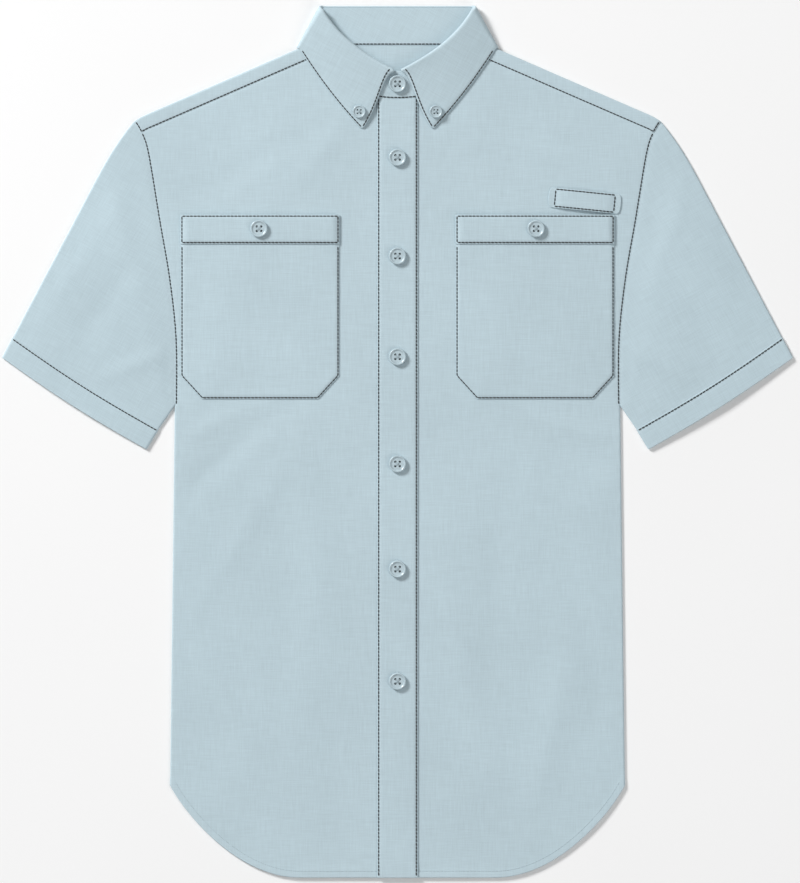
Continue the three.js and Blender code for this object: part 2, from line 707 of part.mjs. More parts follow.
// A point of the leaf's outer layer. The share down is 0 at the roll and 1 at the outer edge.
function leafPoint({ part, share }, foot, down) {
  const roll = new THREE.Vector2(foot.x, foot.y + LENGTH / 2);
  if (part === "back") {
    const x = LEAF_EDGE[0].x * share;
    return place(roll.lerp(new THREE.Vector2(x, leafBackEdgeH(x)), down), BACK_LAYER_Z);
  }
  const along = part === "front" ? share : 0;
  const bow = LEAF_FRONT_CURVE.getPoint(down).sub(LEAF_FRONT[0].clone().lerp(LEAF_FRONT[3], down));
  const at = roll.lerp(quadraticAt(LEAF_EDGE, along), down).addScaledVector(bow, along ** 2);
  const rest = frontZ(at.x, at.y) + LAYER;
  const upper = place(at, rest + (LEAF_ROLL_Z - rest) * (1 - down) ** LEAF_EASE);
  if (part === "front") return upper;
  const bulge = THREE.MathUtils.lerp(LEAF_BULGE_TOP - STAND_BULGE_TOP, LEAF_BULGE_EDGE, down);
  return halfTurn(place(at, BACK_LAYER_Z), upper, COLLAR_SIDE, bulge, share);
}

function makeLeaf() {
  const half = (upper) => collarStations().map((station) => leafColumn(station, upper));
  const right = reversed(half(false)).map(flipColumn);
  return wall([...right, ...half(true).slice(1)], CLOTH);
}

// What is sewn on the fronts: each is made from the front's own heights, moved up by its layers

function onFront(layers) {
  return (x, h) => frontZ(x, h) + layers * LAYER;
}

function makePlacket() {
  const acrossX = PLACKET_COLUMNS.map((share) => share * PLACKET_HALF);
  const rowAt = (up) =>
    acrossX.map((x) => new THREE.Vector2(x, THREE.MathUtils.lerp(0, neckH(x) - HALF_GAP, up)));
  const grid = Array.from({ length: PLACKET_ROWS + 1 }, (_, i) => rowAt(i / PLACKET_ROWS));
  return wall(lay(grid, onFront(1)), CLOTH);
}

function makePocket() {
  const { inner, outer, top, chamferH, bottom } = POCKET;
  const corners = [
    new THREE.Vector2(inner + POCKET_CHAMFER_X, bottom),
    new THREE.Vector2(outer - POCKET_CHAMFER_X, bottom),
    new THREE.Vector2(outer, chamferH),
    new THREE.Vector2(outer, top),
    new THREE.Vector2(inner, top),
    new THREE.Vector2(inner, chamferH),
  ];
  const [a, b, c, d, e, f] = corners;
  const grid = patch([
    line(a, b, POCKET_COLUMNS),
    [b, ...line(c, d, POCKET_ROWS)],
    line(d, e, POCKET_COLUMNS),
    [...line(e, f, POCKET_ROWS), a],
  ]);
  return wall(lay(grid, onFront(1)), CLOTH);
}

function makePocketBand() {
  const { inner, outer, top, band } = POCKET;
  const grid = [band, (band + top) / 2, top].map((h) =>
    line(new THREE.Vector2(inner, h), new THREE.Vector2(outer, h), POCKET_COLUMNS),
  );
  return wall(lay(grid, onFront(2)), CLOTH);
}

function makeUtilityTab() {
  const { x, h, width, height, tilt } = TAB;
  const centre = new THREE.Vector2(x, h);
  const rowAt = (up) =>
    Array.from({ length: TAB_COLUMNS + 1 }, (_, i) => {
      const corner = new THREE.Vector2(x + (i / TAB_COLUMNS - 0.5) * width, h + up * height);
      return corner.rotateAround(centre, tilt);
    });
  const grid = [-0.5, 0, 0.5].map(rowAt);
  return wall(lay(grid, onFront(1)), CLOTH);
}

// Buttons: a dished disc with four holes, in shares of its radius and height

const BUTTON_PROFILE = [
  { out: 0, up: 0 },
  { out: 0.86, up: 0 },
  { out: 1, up: 0.35 },
  { out: 1, up: 0.7 },
  { out: 0.89, up: 1 },
  { out: 0.78, up: 0.92 },
  { out: 0.648, up: 0.62 },
  { out: 0, up: 0.62 },
];
const BUTTON_SIDES = 16;
const BUTTON_HOLE = { at: 0.2, radius: 0.1, sides: 6 };
const HOLE_CORNERS = [[1, 1], [1, -1], [-1, -1], [-1, 1]];
const WELD = 1e-4;

// Where a button's rim is felt for on the cloth, a little off the edges of its faces
const PROBE_FROM_Z = 50;
const PROBES = 12;
const PROBE_TURN = 0.1;
const PROBE_OFFSET = new THREE.Vector2(0.05, 0.03);

function solidFrom(geometry) {
  const bare = geometry.clone();
  bare.deleteAttribute("normal");
  bare.deleteAttribute("uv");
  const merged = mergeVertices(bare, WELD);
  return new wasm.Manifold(
    new wasm.Mesh({
      numProp: 3,
      vertProperties: new Float32Array(merged.attributes.position.array),
      triVerts: new Uint32Array(merged.index.array),
    }),
  );
}

function geometryFrom(solid) {
  const { vertProperties, triVerts } = solid.getMesh();
  const geometry = new THREE.BufferGeometry();
  geometry.setAttribute("position", new THREE.BufferAttribute(new Float32Array(vertProperties), 3));
  geometry.setIndex(new THREE.BufferAttribute(new Uint32Array(triVerts), 1));
  geometry.computeVertexNormals();
  return geometry;
}

function makeButton({ radius, height }) {
  const profile = BUTTON_PROFILE.map(({ out, up }) => new THREE.Vector2(out * radius, up * height));
  const disc = new THREE.LatheGeometry(profile, BUTTON_SIDES).rotateX(Math.PI / 2);
  const holeRadius = BUTTON_HOLE.radius * radius;
  const holeAt = BUTTON_HOLE.at * radius;
  let solid = solidFrom(disc);
  for (const [sx, sy] of HOLE_CORNERS) {
    const drill = new THREE.CylinderGeometry(holeRadius, holeRadius, 3 * height, BUTTON_HOLE.sides);
    drill.rotateX(Math.PI / 2).translate(sx * holeAt, sy * holeAt, height / 2);
    solid = solid.subtract(solidFrom(drill));
  }
  return geometryFrom(solid);
}

// Sets a button on the top of a piece, square to the cloth there and just clear of it.
function seatButton(name, size, x, h, carrier) {
  const ray = new THREE.Raycaster();
  const hitAt = (dx, dy) => {
    ray.set(new THREE.Vector3(x + dx, h - LENGTH / 2 + dy, PROBE_FROM_Z), new THREE.Vector3(0, 0, -1));
    return ray.intersectObject(carrier)[0];
  };
  const centre = hitAt(PROBE_OFFSET.x, PROBE_OFFSET.y);
  const rim = Array.from({ length: PROBES }, (_, i) => {
    const angle = (2 * Math.PI * i) / PROBES + PROBE_TURN;
    return hitAt(size.radius * Math.cos(angle), size.radius * Math.sin(angle));
  }).filter(Boolean);
  const up = rim.reduce((sum, hit) => sum.add(hit.face.normal), new THREE.Vector3()).normalize();
  const lift = Math.max(0, ...rim.map((hit) => hit.point.clone().sub(centre.point).dot(up)));
  const mesh = addPiece(name, makeButton(size), buttonPlastic());
  mesh.position.copy(centre.point).addScaledVector(up, lift + SEAM_GAP);
  mesh.quaternion.setFromUnitVectors(new THREE.Vector3(0, 0, 1), up);
  return mesh;
}

addPiece("back_panel", makeBackPanel(), cloth());
addPiece("back_yoke", makeYoke(), cloth());
addPiece("front_left", makeFront(FRONTS_MEET_X), cloth());
addPiece("front_right", mirrored(makeFront(-FRONTS_MEET_X)), cloth());
const placket = addPiece("front_placket", makePlacket(), cloth());
const stand = addPiece("collar_stand", makeStand(), cloth());
const leaf = addPiece("collar_leaf", makeLeaf(), cloth());
addPiece("utility_tab", makeUtilityTab(), cloth());

const sides = [
  { name: "left", sign: 1, shape: (geometry) => geometry },
  { name: "right", sign: -1, shape: mirrored },
];
for (const { name, sign, shape } of sides) {
  addPiece(`sleeve_${name}`, shape(makeSleeve()), cloth());
  addPiece(`sleeve_hem_${name}`, shape(makeSleeveHem()), cloth());
  addPiece(`pocket_${name}`, shape(makePocket()), cloth());
  const band = addPiece(`pocket_band_${name}`, shape(makePocketBand()), cloth());
  seatButton(`pocket_button_${name}`, BUTTON, sign * POCKET_BUTTON.x, POCKET_BUTTON.h, band);
  seatButton(`collar_button_${name}`, COLLAR_BUTTON, sign * COLLAR_BUTTON_AT.x, COLLAR_BUTTON_AT.h, leaf);
}
seatButton("stand_button", BUTTON, 0, STAND_BUTTON_H, stand);
FRONT_BUTTON_H.forEach((h, i) => seatButton(`front_button_${i + 1}`, BUTTON, 0, h, placket));

export default shirt;
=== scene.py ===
import math

import bpy
import numpy as np
from mathutils import Matrix, Vector
from mathutils.bvhtree import BVHTree


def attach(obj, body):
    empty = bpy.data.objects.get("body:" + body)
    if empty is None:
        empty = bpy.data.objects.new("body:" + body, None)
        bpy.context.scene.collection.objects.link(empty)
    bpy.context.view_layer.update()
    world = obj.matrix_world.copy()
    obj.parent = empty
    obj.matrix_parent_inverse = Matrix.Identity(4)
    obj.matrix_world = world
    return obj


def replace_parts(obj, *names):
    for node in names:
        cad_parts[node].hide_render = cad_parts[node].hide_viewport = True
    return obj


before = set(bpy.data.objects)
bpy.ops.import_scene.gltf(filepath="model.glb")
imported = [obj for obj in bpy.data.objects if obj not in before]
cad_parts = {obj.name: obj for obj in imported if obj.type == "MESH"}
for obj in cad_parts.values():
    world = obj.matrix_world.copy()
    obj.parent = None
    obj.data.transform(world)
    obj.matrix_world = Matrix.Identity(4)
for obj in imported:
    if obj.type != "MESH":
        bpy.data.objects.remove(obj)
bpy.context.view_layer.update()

MM = 0.001

# Cloth: the thickness of each kind of piece, the distance between layers, and the grid's steps
THIN = 0.6
YOKE_CLOTH = 0.75
SEWN = 0.9
COLLAR_CLOTH = 1.0
HEM_CLOTH = 1.2
LAYER = 1.5
COLLAR_LAYER = 1.6
FOLD_PITCH = 1.8
GRID = 3.0
EDGE_STEPS = (0, 0.12, 0.4, 0.9, 1.6, 2.6, 4.0)

# The wearer's sides, and their sign in x
SIDES = (("left", 1), ("right", -1))

# Body outline
LENGTH = 801.3
HEM_FLAT_X = 90
HEM_CURVE = [(HEM_FLAT_X, 0), (148, 0), (196, 60), (208.8, 84.6)]
SIDE_BOTTOM = HEM_CURVE[-1]
ARMHOLE = [
    (204.5, 434.5), (204.8, 494), (210.5, 549), (219.9, 604.4), (230, 665), (236, 684), (242.1, 694.6),
]
AT_BACK_YOKE, AT_FRONT_YOKE, AT_SHOULDER = 4, 5, 6
BACK_YOKE_H = 665
FRONTS_MEET_X = 16
HEM_FOLD, HEM_STEP, HEM_EXTRA = 7.0, 1.2, 0.5
SIDE_SEAM_REACH = 1.3
COLUMNS_AT_H, FRONT_RUN = 300, 700

# Shoulder fold, front yoke seam and neck
NECK_POINT = (80, 766.4)
SHOULDER_BEND = (230.9, 701)
SHOULDER_PULL = (236.8, 698.6)
SHOULDER_TIP = ARMHOLE[AT_SHOULDER]
YOKE_SEAM_NECK = (77.3, 753.4)
YOKE_SEAM = [YOKE_SEAM_NECK, (230.2, 687.2), ARMHOLE[AT_FRONT_YOKE]]
NECK_WIDTH, NECK_DROP = 80, 50.8
BACK_NECK_H = 765

# Sleeves
SLEEVE_TOP = [SHOULDER_TIP, (258.7, 675.8), (276.9, 641.2)]
CUFF_TOP, CUFF_BOTTOM = (363.1, 477.8), (231, 393.9)
STITCH_TOP, STITCH_BOTTOM = (353.5, 496), (220.3, 411.7)
CUFF_BOW = 2.5
SLEEVE_ROW, SLEEVE_GRID, SLEEVE_HEM_GRID = 0.6, 3.4, 2
SLEEVE_ANGLE = math.atan2(STITCH_TOP[1] - SHOULDER_TIP[1], STITCH_TOP[0] - SHOULDER_TIP[0])

# How far the upper layer stands off the lower one, in millimetres
BODY_PUFF = 1.6
SLEEVE_PUFF = 2.0

# Where the heights change: the start and end in millimetres, or in shares of the way in from the outline
COLLAR_RAMP, BESIDE_COLLAR = (-26, -2), (94, 124)
SHOULDER_RAMP, HEM_RAMP, AT_HEM = (8, 110), (0, 120), 0.35
OVER_COLLAR, BESIDE_OVER_COLLAR = (650, 752), (100, 190)
FREE_INSIDE, FREE_BELOW = (0.02, 0.25), (0.02, 0.4)
SLOW_RISE, QUICK_RISE = 0.34, 0.12
# Lengths of the slow unevenness: each slow wave drifts to and fro, and each quick one slants
SLOW_WAVES, QUICK_WAVES, QUICK_PHASE = ((31, 0.9, 47), (39, 1.3, 53)), ((13.7, 29), (17.3, 41)), 2

# What sewing does to the cloth: depth and reach where a row of stitches pulls it in
PUCKERS = {
    "row": (0.28, 1.6), "armhole": (0.25, 0.8), "front_yoke": (0.3, 0.9), "yoke_edge": (0.2, 0.7),
    "hem": (0.2, 1.6), "placket": (0.2, 1.2), "pocket": (0.12, 1.2), "underside": (0.36, 1.5),
}
PUCKER_WAVE, PUCKER_EVEN, PUCKER_UNEVEN, PUCKER_DRIFT, PUCKER_DRIFT_LENGTH = 8.5, 0.7, 0.3, 2.1, 37
# Height, reach and wave of the ripples beside a seam
RIPPLES = {
    "armhole": (0.16, 9, 11), "front_yoke": (0.12, 9, 11), "yoke_edge": (0.1, 9, 11), "hem": (0.14, 8, 13),
    "side": (0.12, 10, 17), "band": (0.1, 7, 11), "pocket": (0.15, 8, 11),
}
RIPPLE_DRIFT, RIPPLE_SECOND_DRIFT, RIPPLE_DRIFT_LENGTHS = 2.4, 0.6, (41, 17.3)
RIPPLE_EVEN, RIPPLE_UNEVEN, RIPPLE_LENGTH, RIPPLE_BEGINS = 0.6, 0.4, 53, 3
# Depth and reach where a sewn edge is drawn down to the cloth below it
PRESSED = {
    "placket": (0.5, 3.2), "pocket": (0.75, 3.2), "band": (0.6, 3.2), "band_end": (1.4, 5),
    "tab_end": (0.52, 9), "tab_edge": (0.16, 2.5),
}

# Placket, pockets and utility tab
PLACKET_HALF = 18.4
POCKET = {"inner": 53.6, "outer": 199.2, "top": 608.8, "band": 582.4, "chamfer_h": 460.9, "bottom": 439.8}
POCKET_CHAMFER_X = 19.3
TAB = {
    "x": 172.1, "h": 622, "width": 64, "height": 18, "tilt": math.radians(-5.7), "bow": 1.2, "bow_from": 0.6,
    "sewn": 4.6, "end_slack": 1.5, "corner_along": 0.955, "corner_up": 0.8, "drawn_in": 0.022,
    "drawn_down": 0.07, "loop": 1.1, "loop_round": 0.7,
}
TAB_GRID, BAND_GRID = 1.6, 2.4
BELLY, BELLY_RAMP, BELLY_TOP_RAMP = 0.7, (2, 46), 40
HELD_AT_HEM, HELD_RAMP, ROW_TOP_H = 0.25, 8, 716

# Collar
STAND_TAB_X, STAND_TOP_H, STAND_TAB_DROP, STAND_TOP_Z = -18, 740.8, 12, 6
LEAF_ROLL_Z = 10.6
ROLL_LINE = [(68, 797.5), (50, 766), (3.6, 742.9)]
LEAF_TIP = (32.4, 687.3)
LEAF_EDGE = [(90, 761.6), (62.5, 718), LEAF_TIP]
LEAF_FRONT = [ROLL_LINE[2], (14, 740), (15.5, 712), LEAF_TIP]
LEAF_BACK_H = 752
LEAF_TIP_RADIUS = 2.6
COLLAR_SIDE = (0.9, 0.43)
SHOULDER_OUT = (0.398, 0.917)
LEAF_BULGE_TOP, LEAF_BULGE_EDGE = 4.4, 2.6
STAND_BULGE_TOP, STAND_BULGE_SEAM = 2, 0.83
LEAF_EASE = 1.1
COLLAR_GAP = 0.5
NECK_POINT_CLEARANCE, ROLL_CLEARANCE, SEAM_GAP = 0.6, 0.6, 0.15
FIRST_NECK_ANGLE = 0.02
LAST_NECK_ANGLE = math.acos(ROLL_LINE[2][0] / NECK_WIDTH)

# Sewing
STITCH = {"pitch": 3.4, "gap": 0.32, "radius": 0.56}
THREAD_FLATNESS, THREAD_CROWN, THREAD_SINK = 0.72, 0.55, 0.25
UNDER_STITCH_RADIUS = 0.2
EDGE_STITCH = 1.15
SEAM_STITCH = 1.2
STAND_STITCH = 1.1
HEM_STITCH = 5.6
BACK_NECK_ROW_X, TAB_END_ROW, PLACKET_ROW_END = 46, 0.46, 0.6

# Buttons
BUTTONHOLE, COLLAR_BUTTONHOLE = 13.6, 9.6
FRONT_BUTTONS = [f"front_button_{number}" for number in range(1, 7)]

# Colours, linear, and the angle of the collar's grain
CLOTH_COLOUR = (0.497, 0.617, 0.672)
THREAD_COLOUR = (0.006, 0.008, 0.01)
TONAL_SHADE = 0.72
COLLAR_GRAIN = math.radians(28)

# Camera: the photo's frame seen straight down
IMAGE_HEIGHT = 812.4
IMAGE_CENTRE_X = 2.3
CAMERA_HEIGHT = 4000
SENSOR = 36
FLOOR = 12000


# Plan lines

# How many steps each kind of line is drawn in
CURVE_STEPS, UNDER_STEPS, ARMHOLE_STEPS, TIP_STEPS = 48, 24, 10, 8


def curve_at(points, share):
    """A point of a Bezier curve at a share of its run, or many at a column of shares."""
    top = len(points) - 1
    return sum(
        math.comb(top, k) * (1 - share) ** (top - k) * share**k * np.array(point, float)
        for k, point in enumerate(points)
    )


def bezier(points, steps=CURVE_STEPS):
    return curve_at(points, np.linspace(0, 1, steps + 1)[:, None])


def chain(*lines):
    """Lines joined end to end, without the repeated point at each join."""
    return np.concatenate([lines[0]] + [line[1:] for line in lines[1:]])


def distances_along(line):
    return np.concatenate([[0], np.cumsum(np.linalg.norm(np.diff(line, axis=0), axis=1))])


def at(line, shares):
    """The points of a line at shares of its length."""
    along = distances_along(line)
    return np.stack([np.interp(np.asarray(shares) * along[-1], along, axis) for axis in line.T], axis=1)


def share_of(line, corner):
    """The share of a line's length at which one of its points lies."""
    along = distances_along(line)
    return along[np.argmin(np.linalg.norm(line - np.array(corner), axis=1))] / along[-1]


def shares(length, stops=(), size=GRID):
    """Shares of a length, even but for the fine steps at both ends, and with one at each stop."""
    ends = np.array(EDGE_STEPS) / length
    middle = np.linspace(ends[-1], 1 - ends[-1], max(2, round(length / size)))
    made = np.concatenate([ends[:-1], middle, 1 - ends[-2::-1]])
    for stop in stops:
        made[np.argmin(abs(made - stop))] = stop
    return made


def beside(line, gap):
    """A line that runs beside another, to its left."""
    step = np.diff(line, axis=0)
    step /= np.linalg.norm(step, axis=1, keepdims=True)
    left = np.stack([-step[:, 1], step[:, 0]], axis=1)
    both = np.concatenate([left[:1], left]) + np.concatenate([left, left[-1:]])
    return line + gap * both * (2 / (both**2).sum(axis=1, keepdims=True))


def mirror(line):
    return line[::-1] * (-1, 1)


def near(points, line):
    """Each point's distance from a line, and how far along the line the nearest place is."""
    best = np.full(len(points), np.inf)
    where = np.zeros(len(points))
    for start, end, begun in zip(line[:-1], line[1:], distances_along(line)):
        step = end - start
        length = np.linalg.norm(step)
        if length == 0:
            continue
        share = np.clip((points - start) @ step / length**2, 0, 1)
        gap = np.linalg.norm(points - start - share[:, None] * step, axis=1)
        closer = gap < best
        best[closer] = gap[closer]
        where[closer] = (begun + share * length)[closer]
    return best, where


def patch(bottom, right, top, left, across, up):
    """A grid of plan points between four sides. Bottom and top run across, left and right run up."""
    u, v = np.asarray(across)[None, :, None], np.asarray(up)[:, None, None]
    sides = bottom[None] * (1 - v) + top[None] * v + left[:, None] * (1 - u) + right[:, None] * u
    corners = (bottom[0] * (1 - u) + bottom[-1] * u) * (1 - v) + (top[0] * (1 - u) + top[-1] * u) * v
    return sides - corners


def panel(bottom, right, top, left, across, up):
    return patch(at(bottom, across), at(right, up), at(top, across), at(left, up), across, up)


def hem_line(from_x):
    return chain(bezier([(from_x, 0), (HEM_FLAT_X, 0)]), bezier(HEM_CURVE))


def armhole_line(first, last):
    """The armhole seam between two points of its table, on a spline through all of them."""
    table = np.array(ARMHOLE, float)
    ends = np.concatenate([table[:1], table, table[-1:]])
    spans = []
    for span in range(first, last):
        before, start, end, after = ends[span : span + 4]
        pull_start, pull_end = (end - before) / 2, (after - start) / 2
        spans.append(bezier([start, start + pull_start / 3, end - pull_end / 3, end], ARMHOLE_STEPS))
    return chain(*spans)


def shoulder_line():
    tip = bezier([SHOULDER_BEND, SHOULDER_PULL, SHOULDER_TIP], TIP_STEPS)
    return chain(bezier([NECK_POINT, SHOULDER_BEND]), tip)


def front_yoke_seam():
    return chain(bezier(YOKE_SEAM[:2]), bezier(YOKE_SEAM[1:], TIP_STEPS))


def side_line():
    return bezier([SIDE_BOTTOM, ARMHOLE[0]])


def neck_h(x):
    """The neck seam's height at x, on the front."""
    return NECK_POINT[1] - NECK_DROP * np.sqrt(np.clip(1 - (np.asarray(x) / NECK_WIDTH) ** 2, 0, 1))


def neck_at(angle):
    return np.array([NECK_WIDTH * math.cos(angle), NECK_POINT[1] - NECK_DROP * math.sin(angle)])


def neck_line(from_x):
    first, last = math.acos(from_x / NECK_WIDTH), math.acos(YOKE_SEAM_NECK[0] / NECK_WIDTH)
    line = np.array([neck_at(angle) for angle in np.linspace(first, last, 40)])
    line[-1] = YOKE_SEAM_NECK
    return line


# Layer heights: each function gives the middle of a layer of cloth at plan points


def smooth(value, start, end):
    share = np.clip((np.asarray(value, float) - start) / (end - start), 0, 1)
    return share * share * (3 - 2 * share)


def turned(gap, reach):
    """From 0 at a fold to 1 at reach from it, round like a quarter circle."""
    return np.sqrt(1 - (1 - np.clip(gap / reach, 0, 1)) ** 2)


def leaf_back_edge_h(x):
    return LEAF_BACK_H + (LEAF_EDGE[0][1] - LEAF_BACK_H) * (x / LEAF_EDGE[0][0]) ** 2


def back_z(x, h):
    side = abs(x)
    edge = leaf_back_edge_h(np.minimum(side, LEAF_EDGE[0][0]))
    return THIN / 2 + COLLAR_LAYER * smooth(h - edge, *COLLAR_RAMP) * (1 - smooth(side, *BESIDE_COLLAR))


def half_width_at(h):
    outline = np.array([SIDE_BOTTOM] + ARMHOLE)
    return np.interp(h, outline[:, 1], outline[:, 0])


def shoulder_h(x):
    return np.interp(abs(x), [NECK_POINT[0], SHOULDER_BEND[0]], [NECK_POINT[1], SHOULDER_BEND[1]])


# Soft creases in the fronts: x and h of the middle, the direction in degrees, the length, width and rise
CREASES = [
    (176, 408, 158, 62, 8, 0.83),
    (168, 384, 146, 74, 10, -0.75),
    (150, 340, 131, 88, 13, 0.75),
    (92, 268, 84, 95, 16, -0.83),
    (61, 190, 97, 120, 14, 0.68),
    (138, 120, 73, 84, 15, 0.75),
    (176, 214, 101, 76, 12, -0.68),
    (44, 668, 122, 46, 9, -0.6),
    (120, 668, 158, 60, 11, 0.6),
    (-178, 412, 20, 66, 9, 0.75),
    (-166, 380, 37, 80, 11, -0.83),
    (-139, 322, 55, 78, 12, 0.68),
    (-76, 300, 92, 110, 15, 0.75),
    (-108, 176, 81, 104, 17, -0.75),
    (-163, 168, 108, 88, 13, 0.83),
    (-58, 84, 95, 60, 12, -0.6),
    (-66, 672, 47, 52, 10, 0.6),
    (-132, 658, 24, 58, 11, -0.52),
]
CREASE_BOW, CREASE_TURNS = 0.05, 2


def creased(x, h, creases):
    total = np.zeros(np.shape(x))
    for middle_x, middle_h, degrees, length, width, rise in creases:
        turn = math.radians(degrees)
        dx, dh = x - middle_x, h - middle_h
        along = dx * math.cos(turn) + dh * math.sin(turn)
        across = dh * math.cos(turn) - dx * math.sin(turn)
        bend = across - CREASE_BOW * length * np.sin(along / length * CREASE_TURNS)
        total += rise * np.exp(-((along / length) ** 2) - (bend / width) ** 2)
    return total


def uneven(x, h):
    """The slow unevenness of cloth that was ironed and laid down by hand. Its lengths never fall in step."""
    (x_length, x_drift, x_drift_length), (h_length, h_drift, h_drift_length) = SLOW_WAVES
    slow = np.sin(x / x_length + x_drift * np.sin(h / x_drift_length))
    slow = slow * np.sin(h / h_length + h_drift * np.sin(x / h_drift_length))
    (x_length, x_slant), (h_length, h_slant) = QUICK_WAVES
    quick = np.sin(x / x_length + h / x_slant + QUICK_PHASE) * np.sin(h / h_length - x / h_slant)
    return SLOW_RISE * slow + QUICK_RISE * quick


def front_z(x, h):
    side = abs(x)
    inside = np.clip(1 - (side / half_width_at(h)) ** 2, 0, 1)
    below_shoulder = smooth(shoulder_h(np.maximum(side, NECK_POINT[0])) - h, *SHOULDER_RAMP)
    above_hem = AT_HEM + (1 - AT_HEM) * smooth(h, *HEM_RAMP)
    over_collar = COLLAR_LAYER * smooth(h, *OVER_COLLAR) * (1 - smooth(side, *BESIDE_OVER_COLLAR))
    free = smooth(inside, *FREE_INSIDE) * above_hem * smooth(below_shoulder, *FREE_BELOW)
    life = (creased(x, h, CREASES) + uneven(x, h)) * free
    return THIN / 2 + FOLD_PITCH + over_collar + BODY_PUFF * inside * below_shoulder * above_hem + life


def on_front(layers, x, h):
    return front_z(x, h) + layers * LAYER


def puckered(grid, line, kind="row"):
    """How far a row of stitches pulls the cloth in, unevenly along the row."""
    depth, reach = PUCKERS[kind]
    gap, along = near(grid.reshape(-1, 2), line)
    drift = PUCKER_DRIFT * np.sin(along / PUCKER_DRIFT_LENGTH)
    ripple = PUCKER_EVEN + PUCKER_UNEVEN * np.sin(2 * math.pi * along / PUCKER_WAVE + drift)
    return (depth * ripple * np.exp(-((gap / reach) ** 2))).reshape(grid.shape[:2])


def pulled_in(grid, line):
    """How far a row of stitches on the underside is drawn into the cloth, evenly."""
    depth, reach = PUCKERS["underside"]
    gap, _ = near(grid.reshape(-1, 2), line)
    return (depth * np.exp(-((gap / reach) ** 2))).reshape(grid.shape[:2])


def gathered(grid, line, kind):
    """The small uneven waves that a seam leaves in the cloth beside it."""
    height, reach, wave = RIPPLES[kind]
    gap, along = near(grid.reshape(-1, 2), line)
    first, second = (np.sin(along / length) for length in RIPPLE_DRIFT_LENGTHS)
    wander = first + RIPPLE_SECOND_DRIFT * second
    swell = RIPPLE_EVEN + RIPPLE_UNEVEN * np.sin(along / RIPPLE_LENGTH + 1)
    ripple = np.sin(2 * math.pi * along / wave + RIPPLE_DRIFT * wander) * swell
    fading = height * ripple * np.exp(-((gap / reach) ** 2)) * smooth(gap, 0, RIPPLE_BEGINS)
    return fading.reshape(grid.shape[:2])


def pressed(gap, kind):
    """How far a sewn edge is drawn down to the cloth below it."""
    depth, reach = PRESSED[kind]
    return depth * (1 - smooth(gap, 0, reach))


def grid_near(grid, line):
    """The distance of each point of a grid from a line."""
    return near(grid.reshape(-1, 2), line)[0].reshape(grid.shape[:2])


def lay(grid, z):
    """A grid of plan points at heights, as points in millimetres."""
    return np.stack([grid[..., 0], grid[..., 1] - LENGTH / 2, np.broadcast_to(z, grid.shape[:2])], axis=-1)


# Meshes

RIM_ROUND = 0.7
trees = {}


def add_mesh(name, points, faces, material, slot=None):
    """A piece of the shirt. What rests on the floor is pressed flat there, so nothing reaches below it."""
    laid = np.array(points, float) * MM
    laid[:, 2] = np.maximum(laid[:, 2], 0)
    mesh = bpy.data.meshes.new(name)
    mesh.from_pydata(laid.tolist(), [], faces)
    mesh.polygons.foreach_set("use_smooth", [True] * len(mesh.polygons))
    mesh.materials.append(material)
    made = bpy.data.objects.new(name, mesh)
    bpy.context.scene.collection.objects.link(made)
    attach(made, "root")
    return made


def normalised(vectors):
    return vectors / np.maximum(np.linalg.norm(vectors, axis=-1, keepdims=True), 1e-12)


def shell(node, grid, thickness, material, looped=False):
    """Cloth of some thickness round a grid of middle points, with a rounded rim, in place of a CAD node.
    Points that are nan are no cloth. In a looped grid the last column joins the first."""
    rows, columns = grid.shape[:2]
    middle = grid.reshape(-1, 3)
    numbers = np.arange(rows * columns).reshape(rows, columns)
    here, right = (numbers, np.roll(numbers, -1, axis=1)) if looped else (numbers[:, :-1], numbers[:, 1:])
    quads = np.stack([here[:-1], right[:-1], right[1:], here[1:]], axis=-1).reshape(-1, 4)
    quads = quads[~np.isnan(middle[quads]).any(axis=(1, 2))]
    corner = middle[quads]
    facing = np.cross(corner[:, 2] - corner[:, 0], corner[:, 3] - corner[:, 1])
    normal, outward = np.zeros_like(middle), np.zeros_like(middle)
    for k in range(4):
        np.add.at(normal, quads[:, k], facing)
    normal = normalised(normal)
    edges = np.concatenate([quads[:, [k, (k + 1) % 4]] for k in range(4)])
    size = len(middle)
    rim = edges[~np.isin(edges[:, 0] * size + edges[:, 1], edges[:, 1] * size + edges[:, 0])]
    along_rim = middle[rim[:, 1]] - middle[rim[:, 0]]
    away = normalised(np.cross(along_rim, normal[rim[:, 0]] + normal[rim[:, 1]]))
    for k in range(2):
        np.add.at(outward, rim[:, k], away)
    outward = normalised(outward)
    half = np.broadcast_to(thickness, (rows, columns)).reshape(-1, 1) / 2
    used, on_rim = np.unique(quads), np.unique(rim)
    rounded = (middle + outward * half * RIM_ROUND)[on_rim]
    points = np.concatenate([(middle + normal * half)[used], (middle - normal * half)[used], rounded])
    over, edge = np.zeros(size, int), np.zeros(size, int)
    over[used] = np.arange(len(used))
    edge[on_rim] = np.arange(len(on_rim)) + 2 * len(used)
    under = over + len(used)
    start, end = rim[:, 0], rim[:, 1]
    faces = np.concatenate(
        [
            over[quads],
            under[quads[:, ::-1]],
            np.stack([over[end], over[start], edge[start], edge[end]], axis=1),
            np.stack([edge[end], edge[start], under[start], under[end]], axis=1),
        ]
    ).tolist()
    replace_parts(add_mesh("cloth_" + node, points, faces, material, "shirting"), node)
    trees[node] = BVHTree.FromPolygons(points.tolist(), faces)


def sided(grid, sign):
    """A grid made for the wearer's left, or turned over for the right where sign is -1."""
    return grid if sign == 1 else grid[:, ::-1] * (-1, 1, 1)


# Materials


def new_material(name):
    made = bpy.data.materials.new(name)
    made.use_nodes = True
    return made, made.node_tree.nodes["Principled BSDF"]


